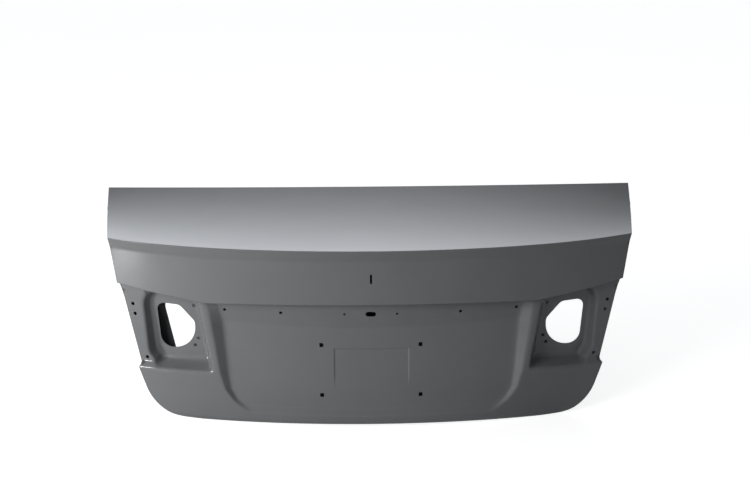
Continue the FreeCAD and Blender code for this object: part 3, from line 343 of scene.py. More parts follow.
def make_piece(name: str, surface: Surface, thickness: float) -> bpy.types.Object:
    """A mesh object from a sheet, smooth-shaded with crisp cut edges.

    Args:
        name: the piece's name.
        surface: the sheet's visible side.
        thickness: sheet gauge in millimetres.

    Returns:
        The new object, linked to the scene, standing at the origin.
    """
    points, faces, rim = surface.shell(thickness)
    mesh = bpy.data.meshes.new(name)
    mesh.vertices.add(len(points))
    mesh.vertices.foreach_set("co", points.astype(np.float32).ravel())
    mesh.loops.add(faces.size)
    mesh.loops.foreach_set("vertex_index", faces.astype(np.int32).ravel())
    mesh.polygons.add(len(faces))
    mesh.polygons.foreach_set("loop_start", np.arange(0, faces.size, 3, dtype=np.int32))
    mesh.update(calc_edges=True)
    mesh.validate()
    mesh.polygons.foreach_set("use_smooth", np.ones(len(mesh.polygons), bool))
    edges = np.empty(len(mesh.edges) * 2, np.int32)
    mesh.edges.foreach_get("vertices", edges)
    edges = np.sort(edges.reshape(-1, 2), 1).astype(np.int64)
    tris = faces[rim]
    sides = np.sort(np.concatenate([tris[:, [0, 1]], tris[:, [1, 2]], tris[:, [2, 0]]]), 1)
    half = len(points) // 2
    sides = sides[(sides < half).all(1) | (sides >= half).all(1)]
    width = len(points)
    sharp = np.isin(edges[:, 0] * width + edges[:, 1], sides[:, 0] * width + sides[:, 1])
    mark = mesh.attributes.new("sharp_edge", "BOOLEAN", "EDGE")
    mark.data.foreach_set("value", sharp)
    mesh.update()
    made = bpy.data.objects.new(name, mesh)
    bpy.context.scene.collection.objects.link(made)
    return made


# ---------------------------------------------------------------- the lid's forms


@dataclass(frozen=True)
class LidForm:
    """The lid's main sizes and the curves that all three pressings share, in millimetres."""

    depth: float = 480.0
    lip_half_width: float = 668.0
    lip_height: float = 475.5
    lip_end_drop: float = 11.0
    plan_sweep: float = 165.0
    plan_wrap: float = 0.14
    front_half_width: float = 705.0
    front_height: float = 519.0
    front_corner_drop: float = 11.7
    front_bow: float = 55.0
    deck_bulge: float = 3.0
    deck_kick: float = 0.2
    band_height: float = 30.0
    band_undercut: float = 8.0
    face_foot_half_width: float = 648.5
    ledge_height: float = 335.0
    ledge_dip: float = 11.5
    ledge_rise: float = 24.0
    ridge_top: float = 424.0
    shelf_height: float = 130.0
    shelf_rise: float = 14.0
    bottom_tumble: float = 6.0
    bottom_tuck: float = 7.0
    bottom_bow: float = 8.0
    bottom_bow_half_width: float = 440.0
    skin: float = 0.8
    seam: float = 0.4

    @property
    def front(self) -> float:
        """Y of the deck's front corners."""
        return 0.5 * self.depth

    @property
    def face_height(self) -> float:
        """Height of the upper face from ledge to lip, at the middle."""
        return self.lip_height - self.ledge_height

    def sweep(self, x: Array) -> Array:
        """Y of the rear face: a parabola in x with a sixth-power wrap near the ends."""
        t = np.abs(x) / self.lip_half_width
        share = (1.0 - self.plan_wrap) * t**2 + self.plan_wrap * t**6
        return -self.front + self.plan_sweep * share

    def lip_z(self, x: Array) -> Array:
        """Height of the lip: it drops with x squared."""
        return self.lip_height - self.lip_end_drop * (x / self.lip_half_width) ** 2

    def front_y(self, x: Array) -> Array:
        """Y of the deck's front edge, bowed rearwards at the middle by a parabola."""
        return self.front - self.front_bow * (1.0 - (x / self.front_half_width) ** 2)

    def front_z(self, x: Array) -> Array:
        """Height of the deck's front edge."""
        return self.front_height - self.front_corner_drop * (x / self.front_half_width) ** 2

    def deck_rise(self, t: Array) -> Array:
        """Share of the deck's climb: kick times t plus the rest times t squared."""
        return self.deck_kick * t + (1.0 - self.deck_kick) * t**2

    def deck_z(self, x: Array, y: Array) -> Array:
        """Height of the deck above a point in plan."""
        t = (y - self.sweep(x)) / (self.front_y(x) - self.sweep(x))
        return mix(self.lip_z(x), self.front_z(x), self.deck_rise(t))

    def ledge_z(self, x: Array) -> Array:
        """Height of the ledge: it dips towards the recess corners and climbs to the ends."""
        dip = self.ledge_dip * np.minimum(np.abs(x) / self.ridge_top, 1.0) ** 2
        span = self.face_foot_half_width - self.ridge_top
        climb = np.maximum(np.abs(x) - self.ridge_top, 0.0) / span
        return self.ledge_height - dip + self.ledge_rise * climb

    def tumble(self, z: Array) -> Array:
        """How far the lower face leans in: a parabola that starts at the lamp shelf."""
        return self.bottom_tumble * np.maximum(1.0 - z / self.shelf_height, 0.0) ** 2

    def bottom_rise(self, x: Array) -> Array:
        """How much the bottom edge stands above its ends."""
        reach = np.minimum(np.abs(x) / self.bottom_bow_half_width, 1.0)
        return self.bottom_bow * (1.0 - reach**2)


@dataclass
class LowerSkin:
    """The lower outer pressing: plate recess, ridges, lamp pockets and lower face."""

    form: LidForm
    crease_height: float = 262.0
    crease_rise: float = 12.0
    crease_depth: float = 34.0
    recess_top_depth: float = 26.0
    fade_height: float = 52.0
    fade_depth: float = 7.0
    fade_end: float = 32.0
    recess_wall: float = 48.0
    ridge_foot: float = 390.0
    ridge_depth: float = 16.0
    ridge_width: float = 12.0
    pocket_top_depth: float = 40.0
    pocket_foot_depth: float = 50.0
    pocket_half_width: float = 569.0
    pocket_foot_half_width: float = 554.0
    pocket_wall: float = 16.0
    side_depth: float = 15.0
    shelf_tilt: float = 14.0
    shelf_drop: float = 4.0
    pocket_top_radius: float = 45.0
    pocket_foot_radius: float = 34.0
    waist: float = 594.0
    hip: float = 601.5
    top_half_width: float = 643.5
    bottom_half_width: float = 556.0
    corner_radius: float = 110.0
    # (share of the shelf's height, share of ridge_foot): the ridge's run below the shelf.
    ridge_run: Tuple[Pair, ...] = ((0.0, 0.72), (0.28, 0.81), (0.5, 0.91), (0.7, 0.965))
    # Share of the recess wall's width at the fade, at the shelf and at the crease.
    wall_shares: Tuple[float, float, float] = (0.26, 0.62, 0.9)
    # (share of the wall's width, share of its rise) where the wall bends into the floor.
    wall_bend: Pair = (0.2, 0.08)
    pocket_inner_wall: float = 11.2
    # Largest part of each end fillet of the lamp pocket that is followed.
    fillet_parts: Pair = (0.9, 0.8)
    # (height over the shelf line, share of the pocket's depth): the shelf's front edge and fillet.
    shelf_run: Tuple[Pair, ...] = ((-5.0, 0.0), (1.5, 0.07), (12.5, 0.93), (19.0, 1.0))
    crease_half: float = 5.0
    crease_end: Pair = (345.0, 400.0)

    # Half the width of the window over which sharp bends are averaged, and where it changes.
    bend_reach: float = 3.5
    outer_wall_reach: float = 7.5
    outer_wall_span: Pair = (515.0, 545.0)
    field_reach: float = 9.0
    shelf_reach: float = 2.5
    pocket_reach: float = 11.0
    pocket_reach_span: Pair = (139.0, 156.0)
    field_span: Pair = (330.0, 400.0)

    emboss_depth: float = 1.6
    emboss_middle: float = 1.0
    emboss_side: Pair = (93.0, 95.2)
    emboss_top: Pair = (207.0, 211.0)
    emboss_fade: Pair = (104.0, 150.0)

    overrun: float = 8.0
    curl_height: float = 15.0
    curl_limit: float = 2.0
    hem_height: float = 1.0
    hem_rows: int = 4
    bow_reach: float = 40.0
    ledge_follow: float = 300.0
    waist_drop: float = 3.5
    waist_lift: float = 4.0
    # Columns between one bend line and the next; the second and third lines edge the sunk field.
    emboss_columns: Pair = (90.0, 99.0)
    columns: Tuple[int, ...] = (9, 9, 20, 4, 9, 4, 5, 6, 32, 8, 14)
    # Rows from the ledge to the first height, then (height, rows down to the next height).
    top_rows: int = 6
    rows: Tuple[Tuple[float, int], ...] = (
        (318.0, 10), (280.0, 12), (250.0, 9), (214.0, 5), (204.0, 10), (162.0, 28),
        (117.0, 17), (58.0, 8), (34.0, 6), (16.0, 10),
    )

    stud_radius: float = 4.5
    stud_places: Tuple[Pair, ...] = (
        (610.0, 293.0), (605.0, 267.0), (578.0, 152.0),
        (450.0, 300.0), (442.0, 210.0), (451.0, 190.0),
    )
    trim_height: float = 301.0
    trim_slot: Tuple[float, float, float] = (26.0, 13.0, 6.4)
    locator_place: float = 66.0
    locator_radius: float = 3.0
    clip_places: Tuple[float, ...] = (226.0, 369.0)
    clip_radius: float = 4.0
    plate_hole: Tuple[float, float, float] = (10.0, 10.0, 1.2)
    plate_hole_across: float = 125.0
    plate_hole_heights: Pair = (88.0, 218.0)
    lamp_corners: Tuple[Pair, ...] = (
        (449.0, 177.0), (540.0, 177.0), (549.0, 298.0), (488.0, 298.0), (449.0, 256.0),
    )
    lamp_radii: Tuple[float, ...] = (64.0, 30.0, 20.0, 20.0, 20.0)

    def lines(self, z: Array) -> List[Tuple[Array, Array]]:
        """(x, depth behind the face) of the bend lines at height z, from the middle out."""
        form = self.form
        shelf, top = form.shelf_height, form.ledge_height
        ridge_knots = [(s * shelf, share * self.ridge_foot) for s, share in self.ridge_run]
        ridge = steps(z, ridge_knots + [(shelf, self.ridge_foot), (top, form.ridge_top)])
        wall_heights = (self.fade_height, shelf, self.crease_height)
        wall = self.recess_wall * steps(z, list(zip(wall_heights, self.wall_shares)))
        floor = ridge - wall
        ridge_end = ridge + self.ridge_width
        foot = ridge_end + self.pocket_inner_wall
        far = steps(z, [(shelf, self.pocket_foot_half_width), (top, self.pocket_half_width)])
        top_limit = self.fillet_parts[0] * self.pocket_top_radius
        rise_in = np.clip(z - (top - self.pocket_top_radius), 0.0, top_limit)
        drop_in = shelf + form.shelf_rise + self.pocket_foot_radius - z
        drop_in = np.clip(drop_in, 0.0, self.fillet_parts[1] * self.pocket_foot_radius)
        far = far - self.pocket_top_radius + np.sqrt(self.pocket_top_radius**2 - rise_in**2)
        far = far - self.pocket_foot_radius + np.sqrt(self.pocket_foot_radius**2 - drop_in**2)
        flange = far + self.pocket_wall
        recess_knots = [
            (self.fade_end, 0.0),
            (self.fade_height, self.fade_depth),
            (self.crease_height, self.crease_depth),
            (top, self.recess_top_depth),
        ]
        recess = steps(z, recess_knots)
        crest = steps(z, [(shelf, 0.0), (top, self.ridge_depth)])
        sunk = steps(z, [(shelf + over, share) for over, share in self.shelf_run])
        foot_knot = (shelf + form.shelf_rise, self.pocket_foot_depth)
        pocket = sunk * steps(z, [foot_knot, (top, self.pocket_top_depth)])
        side = sunk * self.side_depth
        part, rise = self.wall_bend
        return [
            (0.0 * z, recess),
            (floor, recess),
            (floor + part * wall, mix(recess, crest, rise)),
            (ridge - part * wall, mix(crest, recess, rise)),
            (ridge, crest),
            (ridge_end, crest),
            (foot, pocket),
            (far, pocket),
            (flange, side),
        ]

    def shift(self, x: Array, z: Array) -> Array:
        """How much higher the forms stand at x: the crease rises outwards, the shelf inwards."""
        form = self.form
        crease_knots = [
            (self.fade_height, 0.0),
            (self.crease_height - self.crease_half, 1.0),
            (self.crease_height + self.crease_half, 1.0),
            (form.ledge_height, 0.0),
        ]
        shelf_knots = [
            (self.fade_height, 0.0),
            (form.shelf_height + self.shelf_run[0][0], 1.0),
            (form.shelf_height + self.shelf_run[-1][0], 1.0),
            (form.ledge_height, 0.0),
        ]
        crease = self.crease_rise * (x / form.ridge_top) ** 2 * steps(z, crease_knots)
        share = np.clip((self.hip - x) / (self.hip - self.ridge_foot), 0.0, 1.0)
        tilt = (self.shelf_tilt * share - self.shelf_drop) * steps(z, shelf_knots)
        return mix(crease, tilt, smooth(x, *self.crease_end))

    def plain_depth(self, x: Array, z: Array) -> Array:
        """Depth behind the face with sharp bends: straight from line to line across the lid."""
        x = np.abs(x)
        z = z - self.shift(x, z)
        lines = self.lines(z)
        total = lines[0][1] + 0.0 * x
        for (x0, d0), (x1, d1) in zip(lines, lines[1:]):
            total = total + (d1 - d0) * np.clip((x - x0) / (x1 - x0), 0.0, 1.0)
        return total + self.form.tumble(z)

    def depth(self, x: Array, z: Array) -> Array:
        """Depth with rounded bends: a binomial average of the sharp form over a small window.

        The window reaches further across at the pocket's outer wall. Upwards it is large in the
        plate field, where the crease is soft, small at the edge of the lamp shelf and large again
        at the pocket's floor.
        """
        size = np.abs(x)
        outer = smooth(size, *self.outer_wall_span)
        reach_x = mix(self.bend_reach, self.outer_wall_reach, outer)
        pocket_z = mix(self.shelf_reach, self.pocket_reach, smooth(z, *self.pocket_reach_span))
        reach_z = mix(self.field_reach, pocket_z, smooth(size, *self.field_span))
        total = 0.0 * x
        for wz, pz in WINDOW:
            for wx, px in WINDOW:
                sharp = self.plain_depth(size + reach_x * px, z + reach_z * pz)
                total = total + wz * wx * sharp
        return total + self.emboss(x, z)

    def emboss(self, x: Array, z: Array) -> Array:
        """The shallow sunk field behind the number plate; it runs out downwards."""
        across = 1.0 - smooth(np.abs(x - self.emboss_middle), *self.emboss_side)
        down = smooth(z, *self.emboss_fade) * (1.0 - smooth(z, *self.emboss_top))
        return self.emboss_depth * across * down

    def grid(self) -> Array:
        """Rows from the top edge down, columns from left to right, closer together at the bends.

        The bend lines stand at places that depend on their shifted heights, so the columns are
        put on them, shifted and put on them again until they lie along the bends.
        """
        form, count = self.form, len(self.columns)
        between = [k + np.arange(n) / n for k, n in enumerate(self.columns)]
        shares = np.concatenate(between + [[count]])
        rows = [(form.ledge_height, self.top_rows), *self.rows]
        ends = [height for height, _ in self.rows] + [self.hem_height]
        heights = [np.linspace(z, end, n, endpoint=False) for (z, n), end in zip(rows, ends)]
        hem = np.linspace(self.hem_height, -form.bottom_tuck, self.hem_rows)
        z = np.repeat(np.concatenate(heights + [hem])[:, None], len(shares), 1)
        waist = form.shelf_height + form.shelf_rise
        edge_knots = [(waist, self.hip), (form.ledge_height, self.top_half_width)]
        edge = self.overrun + steps(z, edge_knots)
        middle = [0.0 * z + place for place in (0.0, *self.emboss_columns)]
        x = edge * shares / count
        for _ in range(COLUMN_ROUNDS):
            xs = middle + [line for line, _ in self.lines(z - self.shift(x, z))][1:] + [edge]
            x = 0.0 * z
            for k, (x0, x1) in enumerate(zip(xs, xs[1:])):
                x = x + (x1 - x0) * np.clip(shares - k, 0.0, 1.0)
        x = np.concatenate([-x[:, :0:-1], x], 1)
        z = np.concatenate([z[:, :0:-1], z], 1)
        y = form.sweep(x) + self.depth(x, z)
        curl = np.clip(1.0 - z / self.curl_height, 0.0, self.curl_limit) ** 2
        y = y + form.bottom_tuck * curl
        follow = self.ledge_follow
        top_share = np.clip((z - follow) / (form.ledge_height - follow), 0.0, 1.0)
        shift = (form.ledge_z(x) - form.skin - form.seam - form.ledge_height) * top_share
        rise = form.bottom_rise(x) * np.clip(1.0 - z / self.bow_reach, 0.0, 1.0)
        return np.stack([x, y, z + shift + rise], 2)

    def outline(self) -> Outline:
        """The pressing's outline seen from behind, with the bowed bottom edge."""
        form = self.form
        half = [
            (self.bottom_half_width, 0.0),
            (self.hip, form.shelf_height - self.waist_drop),
            (self.waist, form.shelf_height + self.waist_lift),
            (self.top_half_width, form.ledge_height + form.ledge_rise),
        ]
        bow = np.linspace(-form.bottom_bow_half_width, form.bottom_bow_half_width, 41)
        bottom = [(float(x), float(form.bottom_rise(x))) for x in bow]
        corners = bottom + half + [(-x, z) for x, z in reversed(half)]
        radii = [0.5] * len(bottom) + [self.corner_radius, 2.0, 2.0, 1.0]
        radii += [1.0, 2.0, 2.0, self.corner_radius]
        return Outline.rounded(corners, radii)

    def lamp_opening(self) -> Outline:
        """The opening in the right lamp pocket."""
        return Outline.rounded(self.lamp_corners, self.lamp_radii)

    def small_holes(self) -> List[Outline]:
        """Holes of the right half for studs, trim clips and the plate holder."""
        across = self.plate_hole_across
        holes = [Outline.circle(x, z, self.stud_radius) for x, z in self.stud_places]
        holes.append(Outline.circle(self.locator_place, self.trim_height, self.locator_radius))
        holes += [Outline.circle(x, self.trim_height, self.clip_radius) for x in self.clip_places]
        holes += [Outline.rectangle(across, z, *self.plate_hole) for z in self.plate_hole_heights]
        return holes

    def build(self) -> bpy.types.Object:
        """The finished pressing with all its holes."""
        sheet = Surface.from_grid(self.grid(), (0.0, -1.0, 0.0))
        edge = self.outline()
        sheet = sheet.trimmed(lambda p: edge.distance(*Plane.REAR.split(p)))
        opening = self.lamp_opening()
        for outline in (opening, opening.mirrored()):
            sheet = sheet.pierced(outline, Plane.REAR)
        for outline in self.small_holes():
            for hole in (outline, outline.mirrored()):
                sheet = sheet.pierced(hole, Plane.REAR, SMALL_HOLE_SPLITS)
        slot = Outline.rectangle(0.0, self.trim_height, *self.trim_slot)
        sheet = sheet.pierced(slot, Plane.REAR, SMALL_HOLE_SPLITS)
        return make_piece("lower_skin", sheet, self.form.skin)


@dataclass
class UpperSkin:
    """The upper outer pressing: deck, lip, band, upper face, ledge and weld flange."""

    form: LidForm
    lower: LowerSkin
    weld_flange: float = 14.0
    weld_end_inset: float = 6.0
    ledge_reach: float = 26.0
    short_ledge: float = 11.0
    slot: Tuple[float, float, float] = (5.0, 24.0, 1.5)
    slot_centre: Pair = (1.0, 402.0)
    # The ledge leaves the lower skin this far inside the pocket's edge, over a share of its wall.
    leave_inset: float = 2.0
    leave_share: float = 0.6
    # Half the window over which bends are averaged: at the lip and at the soft band crease.
    bend_reach: float = 3.6
    crease_reach: float = 7.0
    crease_span: Tuple[Pair, Pair] = ((12.0, 20.0), (44.0, 60.0))
    # Rows on the deck, then (start, rows) down the profile; 0 is the lip.
    deck_rows: int = 60
    face_rows: Tuple[Tuple[float, int], ...] = ((-20.0, 24), (14.0, 17), (48.0, 18))
    # (way past the ledge, rows) from the foot of the face to the end of the flange.
    ledge_rows: Tuple[Tuple[float, int], ...] = ((-12.0, 18), (8.0, 5), (21.0, 12))
    middle_columns: int = 76
    end_columns: int = 84
    end_share: float = 0.62

    def ledge_depth(self, x: Array) -> Array:
        """How far the ledge runs in: with the lower skin, and short outboard of the pockets."""
        form, lower = self.form, self.lower
        z = np.full_like(x, form.ledge_height)
        own = lower.depth(x, z) + form.skin + form.seam
        wall = lower.pocket_half_width
        end = wall + self.leave_share * lower.pocket_wall
        return mix(own, self.short_ledge, smooth(np.abs(x), wall - self.leave_inset, end))

    def profile(self, share: Array, v: Array) -> Array:
        """Point of the sharp-bended skin.

        Args:
            share: place across, from -1 at the left end to 1 at the right end.
            v: way down the profile in millimetres; 0 at the lip, negative on the deck.

        Returns:
            Points (..., 3): the deck, then the face, the ledge and the flange, each straight in v.
        """
        form = self.form
        deck = form.depth
        t = np.clip(-v / deck, 0.0, 1.0)
        half_width = mix(form.lip_half_width, form.front_half_width, t)
        x_deck = share * (half_width + 4.0 * form.deck_bulge * t * (1.0 - t))
        y_deck = mix(form.sweep(x_deck), form.front_y(x_deck), t)
        z_deck = mix(form.lip_z(x_deck), form.front_z(x_deck), form.deck_rise(t))
        face = form.face_height
        drop = np.clip(v, 0.0, face)
        s = drop / face
        x_face = share * mix(form.lip_half_width, form.face_foot_half_width, s)
        band, cut = form.band_height, form.band_undercut
        tuck = steps(drop, [(0.0, 0.0), (band, cut), (face, 0.0)])
        y_face = form.sweep(x_face) + tuck
        z_face = mix(form.lip_z(x_face), form.ledge_z(x_face), s)
        x_back = share * (self.lower.top_half_width - self.weld_end_inset)
        inwards = np.clip((v - face) / self.ledge_reach, 0.0, 1.0)
        x_ledge = mix(share * form.face_foot_half_width, x_back, inwards)
        reach = self.ledge_depth(x_back)
        y_ledge = form.sweep(x_ledge) + inwards * reach
        down = np.clip(v - face - self.ledge_reach, 0.0, self.weld_flange)
        foot_depth = self.lower.depth(x_back, form.ledge_height - down) + form.skin + form.seam
        lean = np.where(np.abs(x_back) < self.lower.pocket_half_width, foot_depth - reach, 0.0)
        y_ledge = y_ledge + np.where(down > 0, lean, 0.0)
        z_ledge = form.ledge_z(x_ledge) - down
        on_deck, on_face = v < 0, v <= face
        x = np.where(on_deck, x_deck, np.where(on_face, x_face, x_ledge))
        y = np.where(on_deck, y_deck, np.where(on_face, y_face, y_ledge))
        z = np.where(on_deck, z_deck, np.where(on_face, z_face, z_ledge))
        return np.stack([x, y, z], -1)

    def grid(self) -> Array:
        """Rows down the profile from the front edge, bends rounded by a binomial average."""
        form = self.form
        face = form.face_height
        end = face + self.ledge_reach + self.weld_flange
        rows = [(-form.depth, self.deck_rows), *self.face_rows]
        rows += [(face + past, n) for past, n in self.ledge_rows]
        ends = [start for start, _ in rows[1:]] + [end]
        parts = [
            np.linspace(start, stop, n, endpoint=stop == end)
            for (start, n), stop in zip(rows, ends)
        ]
        inner = np.linspace(0.0, self.end_share, self.middle_columns, endpoint=False)
        half = np.concatenate([inner, np.linspace(self.end_share, 1.0, self.end_columns)])
        share = np.concatenate([-half[:0:-1], half])
        v2, s2 = np.meshgrid(np.concatenate(parts), share, indexing="ij")
        first, last = self.crease_span
        soft = smooth(v2, *first) * (1.0 - smooth(v2, *last))
        reach = mix(self.bend_reach, self.crease_reach, soft)
        window = np.minimum(reach, np.minimum(v2 + form.depth, end - v2))
        total = np.zeros(v2.shape + (3,))
        for weight, place in WINDOW:
            total = total + weight * self.profile(s2, v2 + window * place)
        return total

    def build(self) -> bpy.types.Object:
        """The finished pressing with the badge slot."""
        sheet = Surface.from_grid(self.grid(), (0.0, -0.5, 1.0))
        slot = Outline.rectangle(*self.slot_centre, *self.slot)
        sheet = sheet.pierced(slot, Plane.REAR, SMALL_HOLE_SPLITS)
        return make_piece("upper_skin", sheet, self.form.skin)


def spline_weights(counts: Sequence[int]) -> Array:
    """Weights of a uniform cubic B-spline over its control points.

    Args:
        counts: how many samples each span gets, one span fewer than control points.

    Returns:
        Samples by control points. At t in a span the four points round it weigh (1 - t)^3,
        3 t^3 - 6 t^2 + 4, 1 + 3 t + 3 t^2 - 3 t^3 and t^3, all over 6. A point mirrored through
        each end makes the curve start and stop on its end points.
    """
    span = np.repeat(np.arange(len(counts)), counts)
    t = np.concatenate([np.arange(n) / n for n in counts])
    span, t = np.append(span, len(counts) - 1), np.append(t, 1.0)
    basis = [(1 - t) ** 3, 3 * t**3 - 6 * t**2 + 4, 1 + 3 * t + 3 * t**2 - 3 * t**3, t**3]
    wide = np.zeros((len(t), len(counts) + 3))
    for k, weight in enumerate(basis):
        wide[np.arange(len(t)), span + k] = weight / 6.0
    wide[:, 1] += 2.0 * wide[:, 0]
    wide[:, 2] -= wide[:, 0]
    wide[:, -2] += 2.0 * wide[:, -1]
    wide[:, -3] -= wide[:, -1]
    return wide[:, 1:-1]


@dataclass
class InnerPressing:
    """The inner pressing: edge flange, channel, web with ribs and openings, and rear wall."""

    form: LidForm
    lower: LowerSkin
    thickness: float = 0.7
    edge_distance: Tuple[float, ...] = (1.5, 12.0, 16.5, 29.5, 34.0, 90.0, 94.5, 107.5, 112.0)
    edge_depth: Tuple[float, ...] = (0.0, 0.0, 2.6, 23.9, 26.0, 26.0, 23.9, 6.7, 5.0)
    web_depth: float = 5.0
    rib_depth: float = 22.0
    rib_lines: Tuple[float, ...] = (200.0, 223.0, 247.0, 270.0)
    # Which lines, counted from the middle, are a rib's floor, and which edge lines a hinge seat's.
    rib_floor: Tuple[int, int] = (4, 5)
    seat_floor: Tuple[int, int] = (4, 5)
    # Share of the slope from the skin to the wall on the edge lines, from the edge inwards.
    slope_shares: Tuple[float, ...] = (0.0, 0.0, 0.1, 0.92, 1.0)
    pad_half_width: float = 90.0
    wall_depth: float = 84.0
    rear_bend: float = 48.0
    wall_foot: float = 68.0
    foot_flange: float = 36.0
    hinge_level: float = 448.0
    # Width of the web's two rows, as shares of the way from the front to the lip.
    web_tapers: Pair = (0.575, 0.8)
    pad_end: float = 0.15
    # How far the wall's top row stands in and down, as shares of rear_bend.
    top_row: Pair = (0.3, 0.25)
    # (height, share of the tuck) of the flange's rows at the hem.
    hem_curl: Tuple[Pair, ...] = ((14.0, 0.05), (7.0, 0.3), (0.0, 1.0), (-8.0, 2.0))
    rows_on_face: int = 4
    sample_mm: float = 8.0
    cells: Tuple[int, int] = (3, 24)
    deck_split: float = 400.0

    deck_side_corners: Tuple[Pair, ...] = (
        (296.0, -58.0), (552.0, 24.0), (552.0, 84.0), (296.0, 61.0),
    )
    deck_side_radii: Tuple[float, ...] = (28.0, 28.0, 27.0, 28.0)
    deck_middle: Tuple[float, ...] = (0.0, -16.0, 348.0, 128.0, 28.0)
    hinge_bolt: Pair = (629.0, 140.0)
    hinge_bolt_half_gap: float = 25.0
    hinge_bolt_radius: float = 4.5
    right_access_corners: Tuple[Pair, ...] = (
        (453.0, 156.0), (558.0, 156.0), (558.0, 302.0), (453.0, 302.0),
    )
    right_access_radii: Tuple[float, ...] = (45.0, 28.0, 28.0, 45.0)
    left_access_corners: Tuple[Pair, ...] = (
        (-506.0, 156.0), (-453.0, 156.0), (-453.0, 302.0), (-538.0, 302.0),
    )
    left_access_radii: Tuple[float, ...] = (8.0, 45.0, 45.0, 28.0)
    rear_window: Tuple[float, ...] = (262.0, 195.0, 244.0, 134.0, 28.0)
    lock_mouth: Tuple[float, ...] = (0.0, 104.0, 44.0, 26.0, 1.0)
    lock_bolt: Tuple[float, ...] = (40.0, 104.0, 3.5)

    def lines(self, half_width: float) -> Tuple[Array, Array, Array]:
        """x, edge line (their number where free) and whether on a rib, from the middle out."""
        pad, web_edge = self.pad_half_width, half_width - self.edge_distance[-1]
        first, last = self.rib_lines[0], self.rib_lines[-1]
        free = [0.0, pad, 0.5 * (pad + first), *self.rib_lines]
        free += [last + (web_edge - last) * share for share in (1 / 3, 2 / 3)]
        edges = [half_width - d for d in reversed(self.edge_distance)]
        count = len(self.edge_distance)
        line = np.array([count] * len(free) + list(reversed(range(count))))
        on_rib = np.isin(np.arange(len(line)), self.rib_floor)
        return np.array(free + edges), line, on_rib

    def level(self, line: Array, on_rib: Array) -> Array:
        """Depth below the deck on each line."""
        depths = np.array(self.edge_depth + (self.web_depth,))
        free = line == len(self.edge_distance)
        return np.where(on_rib & free, self.rib_depth, depths[line])

    def under_deck(self, x: Array, y: Array, line: Array, level: Array) -> Array:
        """Height under the deck; the side channels run level under the hinges."""
        z = self.form.deck_z(x, y) - level
        seat = np.isin(line, self.seat_floor) & (level > self.web_depth)
        return np.where(seat, np.minimum(z, self.hinge_level), z)

    def wall_y(self, x: Array) -> Array:
        """Y of the rear wall, level across the lock's seat."""
        return self.form.sweep(np.maximum(np.abs(x), self.pad_half_width)) + self.wall_depth

    def edge_half_width(self, z: float) -> float:
        """Half the lid's width at height z of the rear face."""
        form, lower = self.form, self.lower
        end = form.ledge_height - form.ledge_dip + form.ledge_rise
        lip_end = form.lip_height - form.lip_end_drop
        knots = [
            (form.shelf_height - lower.crease_half, lower.hip),
            (form.shelf_height + lower.crease_half, lower.waist),
            (end - 1.0, lower.top_half_width),
            (end, form.face_foot_half_width),
            (lip_end, form.lip_half_width),
        ]
        return float(steps(np.array(z), knots))

    def deck_rows(self) -> List[Array]:
        """Rows under the deck, from the front edge rearwards; each is points from middle to end."""
        form = self.form
        last_row = len(self.edge_distance) - 1
        rows = []
        for row, distance in enumerate(self.edge_distance):
            half_width = mix(form.front_half_width, form.lip_half_width, distance / form.depth)
            x, line, on_rib = self.lines(half_width)
            level = self.level(np.minimum(line, row), on_rib & (row == last_row))
            y = form.front_y(x) - distance
            rows.append(np.stack([x, y, self.under_deck(x, y, line, level)], 1))
        for share, taper in zip((0.5, 1.0), self.web_tapers):
            x, line, on_rib = self.lines(mix(form.front_half_width, form.lip_half_width, taper))
            start = form.front_y(x) - self.edge_distance[-1]
            last = mix(form.sweep(x), form.front_y(x), self.pad_end)
            y = mix(start, np.where(line < 2, last, self.wall_y(x) + self.rear_bend), share)
            rows.append(np.stack([x, y, self.under_deck(x, y, line, self.level(line, on_rib))], 1))
        return rows

    def rear_rows(self) -> List[Array]:
        """Rows down the rear, from the lip to the foot.

        Each row mixes a place on the skin (depth behind the face, height) with a place on the wall
        (share of the wall's depth, height): 0 at the edge flange, 1 from the channel inwards.
        """
        form = self.form
        band, cut, face = form.band_height, form.band_undercut, form.face_height
        shelf, foot, bend = form.shelf_height, self.wall_foot, self.rear_bend
        top, side = form.ledge_height, self.lower.side_depth
        low = shelf + form.shelf_rise
        wall_top = form.lip_height - bend

        def drop(share: float) -> Callable[[Array], Array]:
            """Height on the upper face, a share of the way down it."""
            return lambda x: mix(form.lip_z(x), form.ledge_z(x), share)

        def at(z: float) -> Callable[[Array], Array]:
            """One height for all x."""
            return lambda x: z + 0.0 * x

